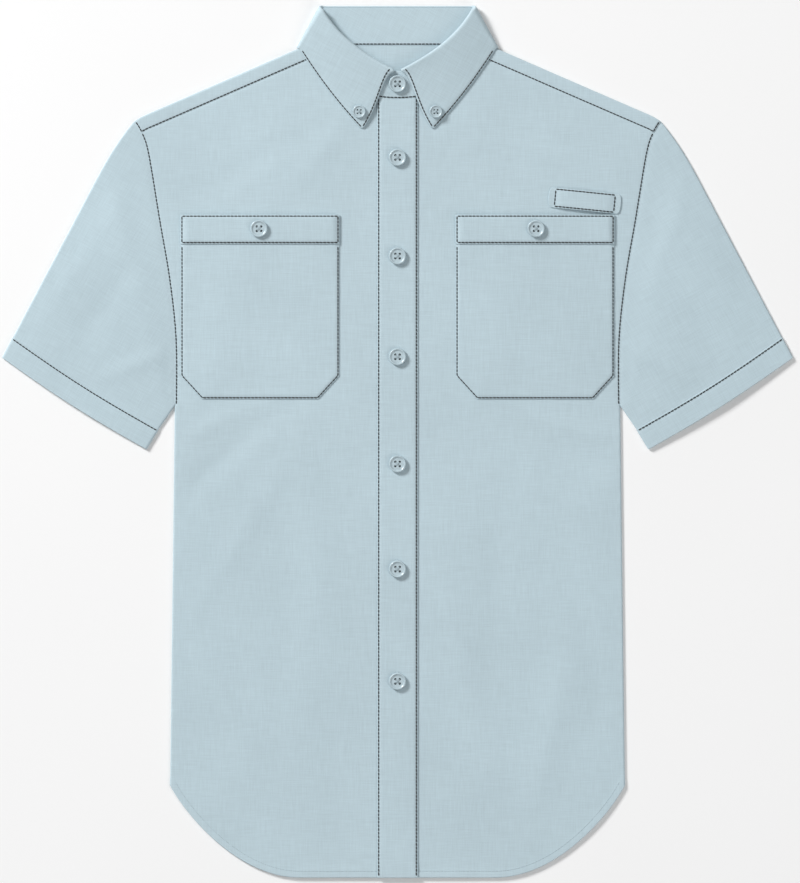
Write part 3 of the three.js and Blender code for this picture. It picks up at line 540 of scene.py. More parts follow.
def node(material, kind, inputs=(), **settings):
    """A new shader node. Inputs are pairs of a socket and a value, or of a socket and an output to link."""
    made = material.node_tree.nodes.new("ShaderNode" + kind)
    for key, value in settings.items():
        setattr(made, key, value)
    for socket, value in inputs:
        if isinstance(value, bpy.types.NodeSocket):
            material.node_tree.links.new(value, made.inputs[socket])
        else:
            made.inputs[socket].default_value = value
    return made


def maths(material, operation, first, second=0.0):
    return node(material, "Math", [(0, first), (1, second)], operation=operation).outputs[0]


def blend(material, factor, first, second):
    ends = [("Factor", factor), ("A", (*first, 1)), ("B", (*second, 1))]
    return node(material, "Mix", ends, data_type="RGBA").outputs["Result"]


def stretched_noise(material, place, scale, detail=2.0):
    spread = node(material, "Mapping", [("Vector", place), ("Scale", scale)])
    made = node(material, "TexNoise", [("Vector", spread.outputs[0]), ("Scale", 1.0), ("Detail", detail)])
    return made.outputs[0]


def shade(colour, share):
    return tuple(channel * share for channel in colour)


def finished(material, shader, links, values):
    """Links outputs to the shader's sockets, and sets the sockets that are the same all over."""
    for socket, output in links.items():
        material.node_tree.links.new(output, shader.inputs[socket])
    for socket, value in values.items():
        shader.inputs[socket].default_value = value
    return material


YARN_PITCH = 0.5 * MM


def cloth_material(name, turn=0.0):
    """Plain-weave shirting: its yarns, their slubs, and a soft bloom. Turn is the way of the grain."""
    made, shader = new_material(name)
    where = node(made, "TexCoord").outputs["Object"]
    grain = node(made, "Mapping", [("Vector", where), ("Rotation", (0, 0, turn))]).outputs[0]
    split = node(made, "SeparateXYZ", [(0, grain)])
    wave = 2 * math.pi / YARN_PITCH
    weft = maths(made, "SINE", maths(made, "MULTIPLY", split.outputs[0], wave))
    warp = maths(made, "SINE", maths(made, "MULTIPLY", split.outputs[1], wave))
    weave = maths(made, "MULTIPLY", weft, warp)
    warp_slub = stretched_noise(made, grain, (1500, 55, 55))
    weft_slub = stretched_noise(made, grain, (55, 1500, 55))
    slubs = maths(made, "MULTIPLY", maths(made, "ADD", warp_slub, weft_slub), 0.5)
    cloud = stretched_noise(made, where, (9, 9, 9), 3.0)
    tone = maths(made, "ADD", maths(made, "MULTIPLY", slubs, 0.75), maths(made, "MULTIPLY", cloud, 0.25))
    spread = node(made, "MapRange", [("Value", tone), ("From Min", 0.32), ("From Max", 0.68)])
    colour = blend(made, spread.outputs[0], shade(CLOTH_COLOUR, 0.9), shade(CLOTH_COLOUR, 1.09))
    relief = maths(made, "ADD", maths(made, "MULTIPLY", weave, 0.5), maths(made, "MULTIPLY", slubs, 1.6))
    bump = node(made, "Bump", [("Height", relief), ("Strength", 0.35), ("Distance", 0.12 * MM)])
    links = {"Base Color": colour, "Normal": bump.outputs[0]}
    values = {"Roughness": 0.86, "Specular IOR Level": 0.25, "Sheen Weight": 0.12, "Sheen Roughness": 0.45}
    return finished(made, shader, links, values)


def thread_material(name, colour):
    """Twisted sewing thread: fine plies across its run, and a little lustre."""
    made, shader = new_material(name)
    where = node(made, "TexCoord").outputs["Object"]
    plies = [("Vector", where), ("Scale", 520.0), ("Distortion", 0.6)]
    twist = node(made, "TexWave", plies, bands_direction="DIAGONAL").outputs[1]
    tint = blend(made, twist, shade(colour, 0.75), shade(colour, 1.35))
    bump = node(made, "Bump", [("Height", twist), ("Strength", 0.4), ("Distance", 0.1 * MM)])
    links = {"Base Color": tint, "Normal": bump.outputs[0]}
    return finished(made, shader, links, {"Roughness": 0.6, "Sheen Weight": 0.15})


def button_material():
    """Resin dyed to match the cloth, with faint swirls and a worn satin gloss."""
    made, shader = new_material("button_resin")
    where = node(made, "TexCoord").outputs["Object"]
    swirl = stretched_noise(made, where, (260, 420, 260), 4.0)
    spread = node(made, "MapRange", [("Value", swirl), ("From Min", 0.3), ("From Max", 0.7)])
    colour = blend(made, spread.outputs[0], shade(CLOTH_COLOUR, 0.8), shade(CLOTH_COLOUR, 0.98))
    scuffs = stretched_noise(made, where, (900, 2600, 900), 3.0)
    rough = node(made, "MapRange", [("Value", scuffs), ("To Min", 0.24), ("To Max", 0.42)])
    bump = node(made, "Bump", [("Height", scuffs), ("Strength", 0.08), ("Distance", 0.05 * MM)])
    links = {"Base Color": colour, "Roughness": rough.outputs[0], "Normal": bump.outputs[0]}
    return finished(made, shader, links, {"Coat Weight": 0.25, "Coat Roughness": 0.15})


body_cloth = cloth_material("shirting_body")
yoke_cloth = cloth_material("shirting_yoke", math.pi / 2)
sleeve_cloth = {1: cloth_material("shirting_sleeve_left", -SLEEVE_ANGLE)}
sleeve_cloth[-1] = cloth_material("shirting_sleeve_right", SLEEVE_ANGLE)
collar_cloth = cloth_material("shirting_collar", COLLAR_GRAIN)
thread = thread_material("thread_dark", THREAD_COLOUR)
tonal_thread = thread_material("thread_tonal", shade(CLOTH_COLOUR, TONAL_SHADE))
resin = button_material()


# Body


def hem_thickness(grid, hem):
    """Thicker where the hem is turned up."""
    return THIN + HEM_EXTRA * (1 - smooth(grid_near(grid, hem), HEM_FOLD - HEM_STEP, HEM_FOLD))


def seam_closed(grid, z, line, other_z):
    """Draws one layer's edge to the middle of the gap between it and the other layer, along a side seam."""
    middle = (z + other_z) / 2
    return middle + (z - middle) * turned(grid_near(grid, line), SIDE_SEAM_REACH)


def make_back_panel():
    hem = chain(mirror(hem_line(0)), hem_line(0))
    side = chain(side_line(), armhole_line(0, AT_BACK_YOKE))
    corner = side[-1]
    top = bezier([(-corner[0], corner[1]), corner])
    across = shares(2 * half_width_at(COLUMNS_AT_H))
    up = shares(BACK_YOKE_H, [share_of(side, ARMHOLE[0])])
    grid = panel(hem, side, top, mirror(side)[::-1], across, up)
    z = back_z(grid[..., 0], grid[..., 1])
    for seam in (side_line(), mirror(side_line())):
        z = seam_closed(grid, z, seam, THIN / 2 + FOLD_PITCH)
    z = z + pulled_in(grid, beside(hem, HEM_STITCH)) + pulled_in(grid, top) / 2
    row = beside(armhole_line(0, AT_BACK_YOKE), SEAM_STITCH)
    z = z + pulled_in(grid, row) + pulled_in(grid, mirror(row))
    thickness = hem_thickness(grid, hem)
    shell("back_panel", lay(grid, z + (thickness - THIN) / 2), thickness, body_cloth)


def make_front(node, inner_x, sign):
    hem, yoke_seam = hem_line(inner_x), front_yoke_seam()
    armhole = armhole_line(0, AT_FRONT_YOKE)
    side = chain(side_line(), armhole)
    top = chain(neck_line(inner_x), yoke_seam)
    across = shares(half_width_at(COLUMNS_AT_H) - inner_x, [share_of(top, YOKE_SEAM_NECK)])
    up = shares(FRONT_RUN, [share_of(side, ARMHOLE[0])])
    grid = panel(hem, side, top, bezier([hem[0], top[0]]), across, up)
    z = seam_closed(grid, front_z(sign * grid[..., 0], grid[..., 1]), side_line(), THIN / 2)
    z = z - puckered(grid, beside(armhole, SEAM_STITCH)) - puckered(grid, armhole, "armhole")
    z = z - puckered(grid, yoke_seam, "front_yoke") - puckered(grid, beside(hem, HEM_STITCH), "hem")
    z = z + gathered(grid, armhole, "armhole") + gathered(grid, yoke_seam, "front_yoke")
    z = z + gathered(grid, hem, "hem") + gathered(grid, side_line(), "side")
    shell(node, sided(lay(grid, z), sign), hem_thickness(grid, hem), body_cloth)


YOKE_NECK_COLUMNS, YOKE_SHOULDER_COLUMNS, YOKE_PITCH, YOKE_NECK_RAMP = 28, 58, 3.2, 22
YOKE_FRONT_ROWS = [0, 0.012, 0.04, 0.09, 0.16, *np.linspace(0.26, 0.8, 8), 0.88, 0.94, 0.98, 1]


def make_yoke():
    """One piece: across the upper back, over each shoulder, and down to the front yoke seam."""
    shoulder, seam = shoulder_line(), front_yoke_seam()
    even = np.linspace(0, 1, YOKE_SHOULDER_COLUMNS + 1)
    neck_edge = bezier([(0, BACK_NECK_H), (NECK_WIDTH, BACK_NECK_H)], YOKE_NECK_COLUMNS)
    top = chain(neck_edge, at(shoulder, even))
    top[YOKE_NECK_COLUMNS] = NECK_POINT
    across = np.linspace(0, 1, len(top))
    up = shares(BACK_NECK_H - BACK_YOKE_H, size=YOKE_PITCH)
    corner = ARMHOLE[AT_BACK_YOKE]
    low = at(bezier([(0, BACK_YOKE_H), corner]), across)
    right = at(armhole_line(AT_BACK_YOKE, AT_SHOULDER), up)
    back = patch(low, right, top, at(bezier([(0, BACK_YOKE_H), (0, BACK_NECK_H)]), up), across, up)
    down = np.array(YOKE_FRONT_ROWS)
    outer = at(armhole_line(AT_FRONT_YOKE, AT_SHOULDER)[::-1], down)
    inner = at(bezier([NECK_POINT, YOKE_SEAM_NECK]), down)
    front = patch(at(shoulder, even), outer, at(seam, even), inner, even, down)
    reach = (FOLD_PITCH + THIN) / 2
    lower = back_z(back[..., 0], back[..., 1])
    over = front_z(back[..., 0], back[..., 1])
    near_neck = smooth(back[..., 0], NECK_WIDTH - YOKE_NECK_RAMP, NECK_WIDTH)
    rising = lower + (over - lower) / 2 * (1 - turned(grid_near(back, shoulder), reach)) * near_neck
    row_h = BACK_YOKE_H + SEAM_STITCH
    rising = rising + pulled_in(back, bezier([(0, row_h), (corner[0], row_h)]))
    rising = rising + pulled_in(back, beside(armhole_line(AT_BACK_YOKE, AT_SHOULDER), SEAM_STITCH))
    upper = front_z(front[..., 0], front[..., 1])
    under = back_z(front[..., 0], front[..., 1])
    falling = upper - (upper - under) / 2 * (1 - turned(grid_near(front, shoulder), reach))
    falling = falling - puckered(front, beside(seam, SEAM_STITCH)) - puckered(front, seam, "yoke_edge")
    falling = falling + gathered(front, seam, "yoke_edge")
    grid = np.full((len(up) + len(down) - 1, len(top), 3), np.nan)
    grid[: len(up)] = lay(back, rising)
    grid[len(up) :, YOKE_NECK_COLUMNS:] = lay(front, falling)[1:]
    both = np.concatenate([sided(grid[:, 1:], -1), grid], axis=1)
    shell("back_yoke", both, YOKE_CLOTH, yoke_cloth)


# Sleeves: a flattened tube, open at the armhole and at the cuff

SLEEVE_CREASES = [
    (252, 600, 66, 62, 12, 0.75),
    (268, 530, 118, 70, 13, -0.83),
    (243, 470, 152, 52, 9, 0.75),
    (300, 560, 125, 66, 14, 0.68),
]


def bowed(start, end):
    line = bezier([start, end])
    share = np.linspace(0, 1, len(line))[:, None]
    out = np.array([end[1] - start[1], start[0] - end[0]]) / math.dist(start, end)
    return line + CUFF_BOW * np.sin(math.pi * share) * out


def tube(node, body, cuff, under, over, size, thickness, puff, row, sign):
    """A flattened tube from four sides. Its rows run from the under fold to the top fold."""
    columns = shares(distances_along(over)[-1], size=size)
    up = shares(distances_along(body)[-1])
    grid = panel(under, cuff, over, body, columns, up)
    gap = np.minimum(grid_near(grid, under), grid_near(grid, over))
    low = np.full(grid.shape[:2], thickness / 2)
    high = low + FOLD_PITCH + puff(up[:, None], columns[None, :], grid) - puckered(grid, row)
    low = low + pulled_in(grid, row)
    middle = (low + high) / 2
    round_share = turned(gap, (FOLD_PITCH + thickness) / 2)
    lower = lay(grid, middle + (low - middle) * round_share)
    upper = lay(grid, middle + (high - middle) * round_share)
    ring = np.concatenate([lower, upper[-2:0:-1]]).transpose(1, 0, 2)
    shell(node, sided(ring, sign), thickness, sleeve_cloth[sign], looped=True)


# The sleeve's puff in shares across it and along it to the cuff, where the cloth is flatter and stiffer
SLEEVE_ROUND, SLEEVE_START, CREASE_INSIDE, CREASE_START = 0.9, (0, 0.4), (0.05, 0.5), (0.02, 0.3)
CUFF_FLAT, CUFF_FLAT_FROM, CUFF_STIFF, CUFF_STIFF_FROM, UNEVEN_SHIFT = 0.3, 0.7, 0.6, 0.8, 40


def sleeve_puff(sign):
    def puff(u, v, grid):
        x, h = grid[..., 0], grid[..., 1]
        inside = np.sin(math.pi * np.clip(u, 0, 1))
        puffed = SLEEVE_PUFF * (inside**SLEEVE_ROUND * smooth(v, *SLEEVE_START))
        free = smooth(inside, *CREASE_INSIDE) * smooth(v, *CREASE_START)
        life = creased(x, h, SLEEVE_CREASES) + uneven(sign * x + UNEVEN_SHIFT, h)
        stiff = 1 - CUFF_STIFF * smooth(v, CUFF_STIFF_FROM, 1)
        return puffed * (1 - CUFF_FLAT * smooth(v, CUFF_FLAT_FROM, 1)) + life * free * stiff

    return puff


def hem_puff(sign):
    inner = sleeve_puff(sign)
    return lambda u, v, grid: inner(u, 1 + 0 * v, grid)


def make_sleeve(side, sign):
    body = armhole_line(0, AT_SHOULDER)
    cuff = bowed(STITCH_BOTTOM, STITCH_TOP)
    over = chain(bezier(SLEEVE_TOP), bezier([SLEEVE_TOP[-1], STITCH_TOP]))
    under = bezier([ARMHOLE[0], STITCH_BOTTOM], UNDER_STEPS)
    row = beside(body, -SLEEVE_ROW)
    tube(f"sleeve_{side}", body, cuff, under, over, SLEEVE_GRID, THIN, sleeve_puff(sign), row, sign)


def make_sleeve_hem(side, sign):
    body, cuff = bowed(STITCH_BOTTOM, STITCH_TOP), bowed(CUFF_BOTTOM, CUFF_TOP)
    under, over = bezier([STITCH_BOTTOM, CUFF_BOTTOM], 12), bezier([STITCH_TOP, CUFF_TOP], 12)
    row, name = beside(body, -SEAM_STITCH), f"sleeve_hem_{side}"
    tube(name, body, cuff, under, over, SLEEVE_HEM_GRID, HEM_CLOTH, hem_puff(sign), row, sign)


# Collar: stations run from the centre back, round the side of the neck, to the centre front

BACK_STATIONS, TURN_STATIONS, FRONT_STATIONS, TAB_STATIONS = 24, 16, 54, 14
ROLL_STEPS = 10
STAND_SHARES = np.array([0, 0.012, 0.04, 0.09, *np.linspace(0.16, 0.84, 5), 0.91, 0.96, 0.988, 1])[:, None]
LEAF_SHARES = [*np.linspace(0, 0.94, 30), 0.96, 0.975, 0.988, 0.996, 1]
RAISED_FROM_TO, CLEAR_BY_BACK, CLEAR_UNTIL_FRONT = (0.5, 0.82), (0.5, 1), (0, 0.25)
STAND_INWARD, STAND_TAB_ROUND = 0.3, 2.5
LEAF_PRESS, LEAF_PRESS_FROM_TO, LEAF_CROWN = 0.5, (0.93, 1), 0.9
BACK_LAYER_Z = COLLAR_CLOTH / 2
BACK_STAND_Z = BACK_LAYER_Z + COLLAR_LAYER
BACK_STAND_TOP_H = LENGTH - COLLAR_LAYER / 2 - ROLL_CLEARANCE - COLLAR_GAP


def collar_stations():
    back = [("back", i / BACK_STATIONS) for i in range(BACK_STATIONS + 1)]
    turn = [("turn", i / TURN_STATIONS) for i in range(1, TURN_STATIONS)]
    return back + turn + [("front", i / FRONT_STATIONS) for i in range(FRONT_STATIONS + 1)]


def spot(point, z):
    return np.array([point[0], point[1] - LENGTH / 2, float(z)])


def half_turn(lower, upper, outward, bulge, share):
    """A point on the half turn from a lower layer to an upper one, which bulges outwards in plan."""
    angle = math.pi * share
    middle = lower + (upper - lower) * (1 - math.cos(angle)) / 2
    return middle + np.array([*outward, 0]) * bulge * math.sin(angle)


def stand_raise(share, upper):
    return LAYER * float(smooth(share, *RAISED_FROM_TO)) if upper else 0.0


def stand_section(part, share, upper):
    """The stand's seam and top edge at a station. Upper is the half whose free end lies on top."""
    if part == "back":
        return stand_back_section(share)
    if part == "front":
        return stand_front_section(share, upper)
    back, front = stand_back_section(1), stand_front_section(0, upper)
    seam = half_turn(back[0], front[0], SHOULDER_OUT, STAND_BULGE_SEAM, share)
    return seam, half_turn(back[1], front[1], COLLAR_SIDE, STAND_BULGE_TOP, share)


def stand_back_section(share):
    clear = NECK_POINT_CLEARANCE * float(smooth(share, *CLEAR_BY_BACK))
    seam = ((NECK_WIDTH - NECK_POINT_CLEARANCE) * share, BACK_NECK_H + SEAM_GAP + clear)
    top = (ROLL_LINE[0][0] * share, BACK_STAND_TOP_H)
    return spot(seam, BACK_STAND_Z), spot(top, BACK_STAND_Z)


def front_z_under(x, h, upper):
    """The height of the front that a half of the collar lies on. The right half is made at x above 0 too."""
    return float(front_z(x if upper else -x, h))


def stand_front_section(share, upper):
    seam = neck_at(FIRST_NECK_ANGLE + (LAST_NECK_ANGLE - FIRST_NECK_ANGLE) * share)
    inward = np.array([-seam[0], NECK_POINT[1] - seam[1]])
    seam = seam + STAND_INWARD * inward / np.linalg.norm(inward)
    seam[0] -= NECK_POINT_CLEARANCE * (1 - float(smooth(share, *CLEAR_UNTIL_FRONT)))
    lift = stand_raise(share, upper)
    top_z = STAND_TOP_Z + lift
    roll = curve_at(ROLL_LINE, share)
    rise = (roll - seam) / np.linalg.norm(roll - seam)
    reach = (LEAF_ROLL_Z - top_z) / 2 + ROLL_CLEARANCE + COLLAR_GAP
    return spot(seam, front_z_under(*seam, upper) + lift), spot(roll - rise * reach, top_z)


def stand_column(seam, top):
    """From the seam to the top edge, with finer rows at both."""
    return seam + (top - seam) * STAND_SHARES


def stand_tab(upper):
    """The stand's free end passes the centre front, and its top edge rounds off downwards."""
    columns, lift = [], stand_raise(1, upper)
    for i in range(TAB_STATIONS):
        x = ROLL_LINE[2][0] + (STAND_TAB_X - ROLL_LINE[2][0]) * (i + 1) / TAB_STATIONS
        seam_h = float(neck_h(x)) + SEAM_GAP
        top_h = STAND_TOP_H - STAND_TAB_DROP * max(0, x / STAND_TAB_X) ** STAND_TAB_ROUND
        seam_z = front_z_under(x, seam_h, upper)
        share = (top_h - seam_h) / (STAND_TOP_H - seam_h)
        top_z = seam_z + (STAND_TOP_Z - seam_z) * share
        columns.append(stand_column(spot((x, seam_h), seam_z + lift), spot((x, top_h), top_z + lift)))
    return columns


def both_halves(half):
    """Columns of the wearer's right half and of the left one, whose free end lies on top, as one grid."""
    right = [column * (-1, 1, 1) for column in reversed(half(False))]
    return np.stack(right + half(True)[1:], axis=1)


def make_stand():
    def half(upper):
        sections = [stand_section(*station, upper) for station in collar_stations()]
        return [stand_column(*section) for section in sections] + stand_tab(upper)

    shell("collar_stand", both_halves(half), COLLAR_CLOTH, collar_cloth)


def leaf_column(station, upper):
    """The leaf starts at the stand's top edge, folds over, and comes down outside to its own edge."""
    seam, top = stand_section(*station, upper)
    rise = (top - seam) * (1, 1, 0)
    rise /= np.linalg.norm(rise)
    foot = top + rise * COLLAR_GAP
    outer = [leaf_point(*station, upper, foot, down) for down in LEAF_SHARES]
    centre, radius = (foot + outer[0]) / 2, np.linalg.norm(foot - outer[0]) / 2
    fold = []
    for angle in (math.pi * i / ROLL_STEPS for i in range(ROLL_STEPS)):
        fold.append(centre + (foot - centre) * math.cos(angle) + rise * radius * math.sin(angle))
    return np.array(fold + outer)


def rounded_tip(point):
    """Rounds the leaf's tip off, by moving what lies outside its round onto it."""
    tip = np.array(LEAF_TIP, float)
    one = np.array(LEAF_EDGE[1]) - tip
    two = np.array(LEAF_FRONT[2]) - tip
    one, two = one / np.linalg.norm(one), two / np.linalg.norm(two)
    inward = (one + two) / np.linalg.norm(one + two)
    half_angle = math.acos(np.clip(one @ two, -1, 1)) / 2
    centre = tip + inward * LEAF_TIP_RADIUS / math.sin(half_angle)
    away = point - centre
    gap = np.linalg.norm(away)
    outside = gap > LEAF_TIP_RADIUS and away @ -inward > gap * math.sin(half_angle)
    return centre + away * LEAF_TIP_RADIUS / gap if outside else point


def leaf_point(part, share, upper, foot, down):
    """A point of the leaf's outer layer. Down is 0 at the roll and 1 at the outer edge."""
    roll = np.array([foot[0], foot[1] + LENGTH / 2])
    if part == "back":
        x = LEAF_EDGE[0][0] * share
        return spot(roll + (np.array([x, leaf_back_edge_h(x)]) - roll) * down, BACK_LAYER_Z)
    along = share if part == "front" else 0
    straight = np.array(LEAF_FRONT[0]) + (np.array(LEAF_FRONT[3]) - np.array(LEAF_FRONT[0])) * down
    bow = curve_at(LEAF_FRONT, down) - straight
    edge = curve_at(LEAF_EDGE, along)
    place = rounded_tip(roll + (edge - roll) * down + bow * along**2)
    rest = front_z_under(*place, upper) + LAYER - LEAF_PRESS * float(smooth(down, *LEAF_PRESS_FROM_TO))
    ease = (1 - down) ** LEAF_EASE
    crown = LEAF_CROWN * math.sin(math.pi * min(1, down)) ** 2 * along * (1 - along)
    outer = spot(place, rest + (LEAF_ROLL_Z - rest) * ease + crown)
    if part == "front":
        return outer
    bulge = LEAF_BULGE_TOP - STAND_BULGE_TOP + (LEAF_BULGE_EDGE - LEAF_BULGE_TOP + STAND_BULGE_TOP) * down
    return half_turn(spot(place, BACK_LAYER_Z), outer, COLLAR_SIDE, bulge, share)


def make_leaf():
    def half(upper):
        return [leaf_column(station, upper) for station in collar_stations()]

    shell("collar_leaf", both_halves(half), COLLAR_CLOTH, collar_cloth)


# What is sewn on the fronts


def make_placket():
    across = shares(2 * PLACKET_HALF, size=BAND_GRID)
    up = shares(neck_h(0))
    x = np.broadcast_to(-PLACKET_HALF + 2 * PLACKET_HALF * across[None, :], (len(up), len(across)))
    grid = np.stack([x, (neck_h(x) - SEAM_GAP) * up[:, None]], axis=-1)
    held = HELD_AT_HEM + (1 - HELD_AT_HEM) * smooth(grid[..., 1], HEM_FOLD, HEM_FOLD + HELD_RAMP)
    z = on_front(1, x, grid[..., 1]) - pressed(PLACKET_HALF - abs(x), "placket") * held
    for edge in (-1, 1):
        row_x = edge * (PLACKET_HALF - EDGE_STITCH)
        row = bezier([(row_x, 0), (row_x, ROW_TOP_H)])
        z = z - puckered(grid, row, "placket") * held + gathered(grid, row, "band") * held
    shell("front_placket", lay(grid, z), COLLAR_CLOTH, body_cloth)


def pocket_outline():
    """From the top inner corner down, round the bottom and up to the top outer corner."""
    low, high = POCKET["bottom"], POCKET["chamfer_h"]
    inner, outer, top = POCKET["inner"], POCKET["outer"], POCKET["top"]
    corners = [(inner, top), (inner, high), (inner + POCKET_CHAMFER_X, low)]
    corners += [(outer - POCKET_CHAMFER_X, low), (outer, high), (outer, top)]
    return np.array(corners, float)


def make_pocket(side, sign):
    outline = pocket_outline()
    left, bottom, right = outline[2::-1], outline[2:4], outline[3:]
    across = shares(POCKET["outer"] - POCKET["inner"])
    up = shares(POCKET["top"] - POCKET["bottom"], [share_of(left, outline[1])])
    grid = panel(bottom, right, outline[[0, -1]], left, across, up)
    gap = grid_near(grid, outline)
    row = beside(outline, EDGE_STITCH)
    below_band = 1 - smooth(grid[..., 1], POCKET["band"] - BELLY_TOP_RAMP, POCKET["band"])
    belly = BELLY * smooth(gap, *BELLY_RAMP) * below_band
    z = on_front(1, sign * grid[..., 0], grid[..., 1]) - pressed(gap, "pocket")
    z = z - puckered(grid, row, "pocket")
    z = z + belly + gathered(grid, row, "pocket")
    shell(f"pocket_{side}", sided(lay(grid, z), sign), THIN, body_cloth)


def make_pocket_band(side, sign):
    inner, outer, top, band = (POCKET[key] for key in ("inner", "outer", "top", "band"))
    low_left, low_right, high_left, high_right = (inner, band), (outer, band), (inner, top), (outer, top)
    low, high = bezier([low_left, low_right]), bezier([high_left, high_right])
    left, right = bezier([low_left, high_left]), bezier([low_right, high_right])
    grid = panel(low, right, high, left, shares(outer - inner), shares(top - band, size=BAND_GRID))
    x, h = grid[..., 0], grid[..., 1]
    ends = pressed(np.minimum(x - inner, outer - x), "band_end")
    edges = [ends, pressed(h - band, "band"), pressed(top - h, "band")]
    row = bezier([(inner, band + EDGE_STITCH), (outer, band + EDGE_STITCH)])
    z = on_front(2, sign * x, h) - np.maximum.reduce(edges) - puckered(grid, row, "pocket")
    z = z + gathered(grid, row, "band")
    shell(f"pocket_band_{side}", sided(lay(grid, z), sign), SEWN, body_cloth)


def tab_point(across, up):
    """A plan point of the utility tab, from its middle, along its length and up its height."""
    turn = TAB["tilt"]
    return np.stack(
        [
            TAB["x"] + across * math.cos(turn) - up * math.sin(turn),
            TAB["h"] + across * math.sin(turn) + up * math.cos(turn),
        ],
        axis=-1,
    )


def make_tab():
    half_width, half_height = TAB["width"] / 2, TAB["height"] / 2
    across = (2 * shares(TAB["width"], size=TAB_GRID) - 1)[None, :]
    up = (2 * shares(TAB["height"], size=TAB_GRID) - 1)[:, None]
    bow = TAB["bow"] * (1 - up**2) * np.sign(across) * smooth(abs(across), TAB["bow_from"], 1)
    along, rise = across * half_width + bow, up * half_height + 0 * across
    corner = smooth(abs(across), TAB["corner_along"], 1) * smooth(abs(up), TAB["corner_up"], 1)
    along, rise = along * (1 - TAB["drawn_in"] * corner), rise * (1 - TAB["drawn_down"] * corner)
    grid = tab_point(along, rise)
    sewn = half_width - TAB["sewn"]
    loop = TAB["loop"] * np.cos(math.pi / 2 * np.clip(along / sewn, -1, 1)) ** TAB["loop_round"]
    ends = pressed(sewn + TAB["end_slack"] - abs(along), "tab_end")
    z = on_front(1, grid[..., 0], grid[..., 1]) + loop - ends - pressed(half_height - abs(rise), "tab_edge")
    shell("utility_tab", lay(grid, z), SEWN, body_cloth)


# Sewing

# The height that rays start at, and the points that short rows are drawn through
RAY_START, STAND_ROW_POINTS, TAB_ROW_POINTS, TAB_END_POINTS = 60, 30, 40, 12


def surface_point(node, point, up=1):
    """Where a vertical ray meets a piece, from above, or from below where up is -1."""
    origin = Vector((point[0], point[1] - LENGTH / 2, RAY_START * up))
    place, normal, _, _ = trees[node].ray_cast(origin, Vector((0, 0, -up)))
    return (None, None) if place is None else (np.array(place), np.array(normal))


RING_SHARES = np.array([0, 0.14, 0.5, 0.86, 1])
RING_SIZES = np.array([0.6, 0.95, 1, 0.95, 0.6])
RING_SIDES = 6


def threads(spans, radius):
    """Points and faces of stitches. A span is its start, middle and end on the cloth, and the way up."""
    start, middle, end, up = (np.array(column) for column in zip(*spans))
    t = RING_SHARES[None, :, None]
    bend = start[:, None] * (1 - t) * (1 - 2 * t) + middle[:, None] * 4 * t * (1 - t)
    bend = bend + end[:, None] * t * (2 * t - 1)
    arch = np.sin(math.pi * t) * (THREAD_CROWN + THREAD_SINK) - THREAD_SINK
    centre = bend + up[:, None] * radius * THREAD_FLATNESS * arch
    side = normalised(np.cross(up, end - start))
    angle = 2 * math.pi * np.arange(RING_SIDES) / RING_SIDES
    across, high = np.cos(angle)[None, :, None], THREAD_FLATNESS * np.sin(angle)[None, :, None]
    ring = side[:, None] * across + up[:, None] * high
    points = centre[:, :, None] + ring[:, None] * (radius * RING_SIZES)[None, :, None, None]
    rings = len(RING_SHARES)
    first = np.arange(len(spans))[:, None, None] * rings * RING_SIDES
    first = first + np.arange(rings - 1)[None, :, None] * RING_SIDES
    here, beyond = first + np.arange(RING_SIDES), first + (np.arange(RING_SIDES) + 1) % RING_SIDES
    faces = np.stack([here, beyond, beyond + RING_SIDES, here + RING_SIDES], axis=-1)
    faces = faces.reshape(-1, 4).tolist()
    caps = (np.arange(len(spans)) * rings * RING_SIDES)[:, None] + np.arange(RING_SIDES)[::-1]
    far_caps = caps[:, ::-1] + (rings - 1) * RING_SIDES
    return points.reshape(-1, 3), faces + caps.tolist() + far_caps.tolist()


def running_stitches(node, line, up=1):
    """The spans of a row of stitches along a plan line on a piece."""
    pitch, total = STITCH["pitch"], distances_along(line)[-1]
    count = max(1, int(total / pitch))
    spans = []
    for i in range(count):
        begun = (i * pitch + STITCH["gap"] / 2 + (total - count * pitch) / 2) / total
        ended = begun + (pitch - STITCH["gap"]) / total
        hits = [surface_point(node, point, up) for point in at(line, [begun, (begun + ended) / 2, ended])]
        if all(place is not None for place, _ in hits):
            normal = hits[1][1]
            spans.append((*(place for place, _ in hits), normal * np.sign(normal[2] * up)))
    return spans


def add_threads(name, spans, radius=STITCH["radius"], material=thread):
    return add_mesh(name, *threads(spans, radius), material)


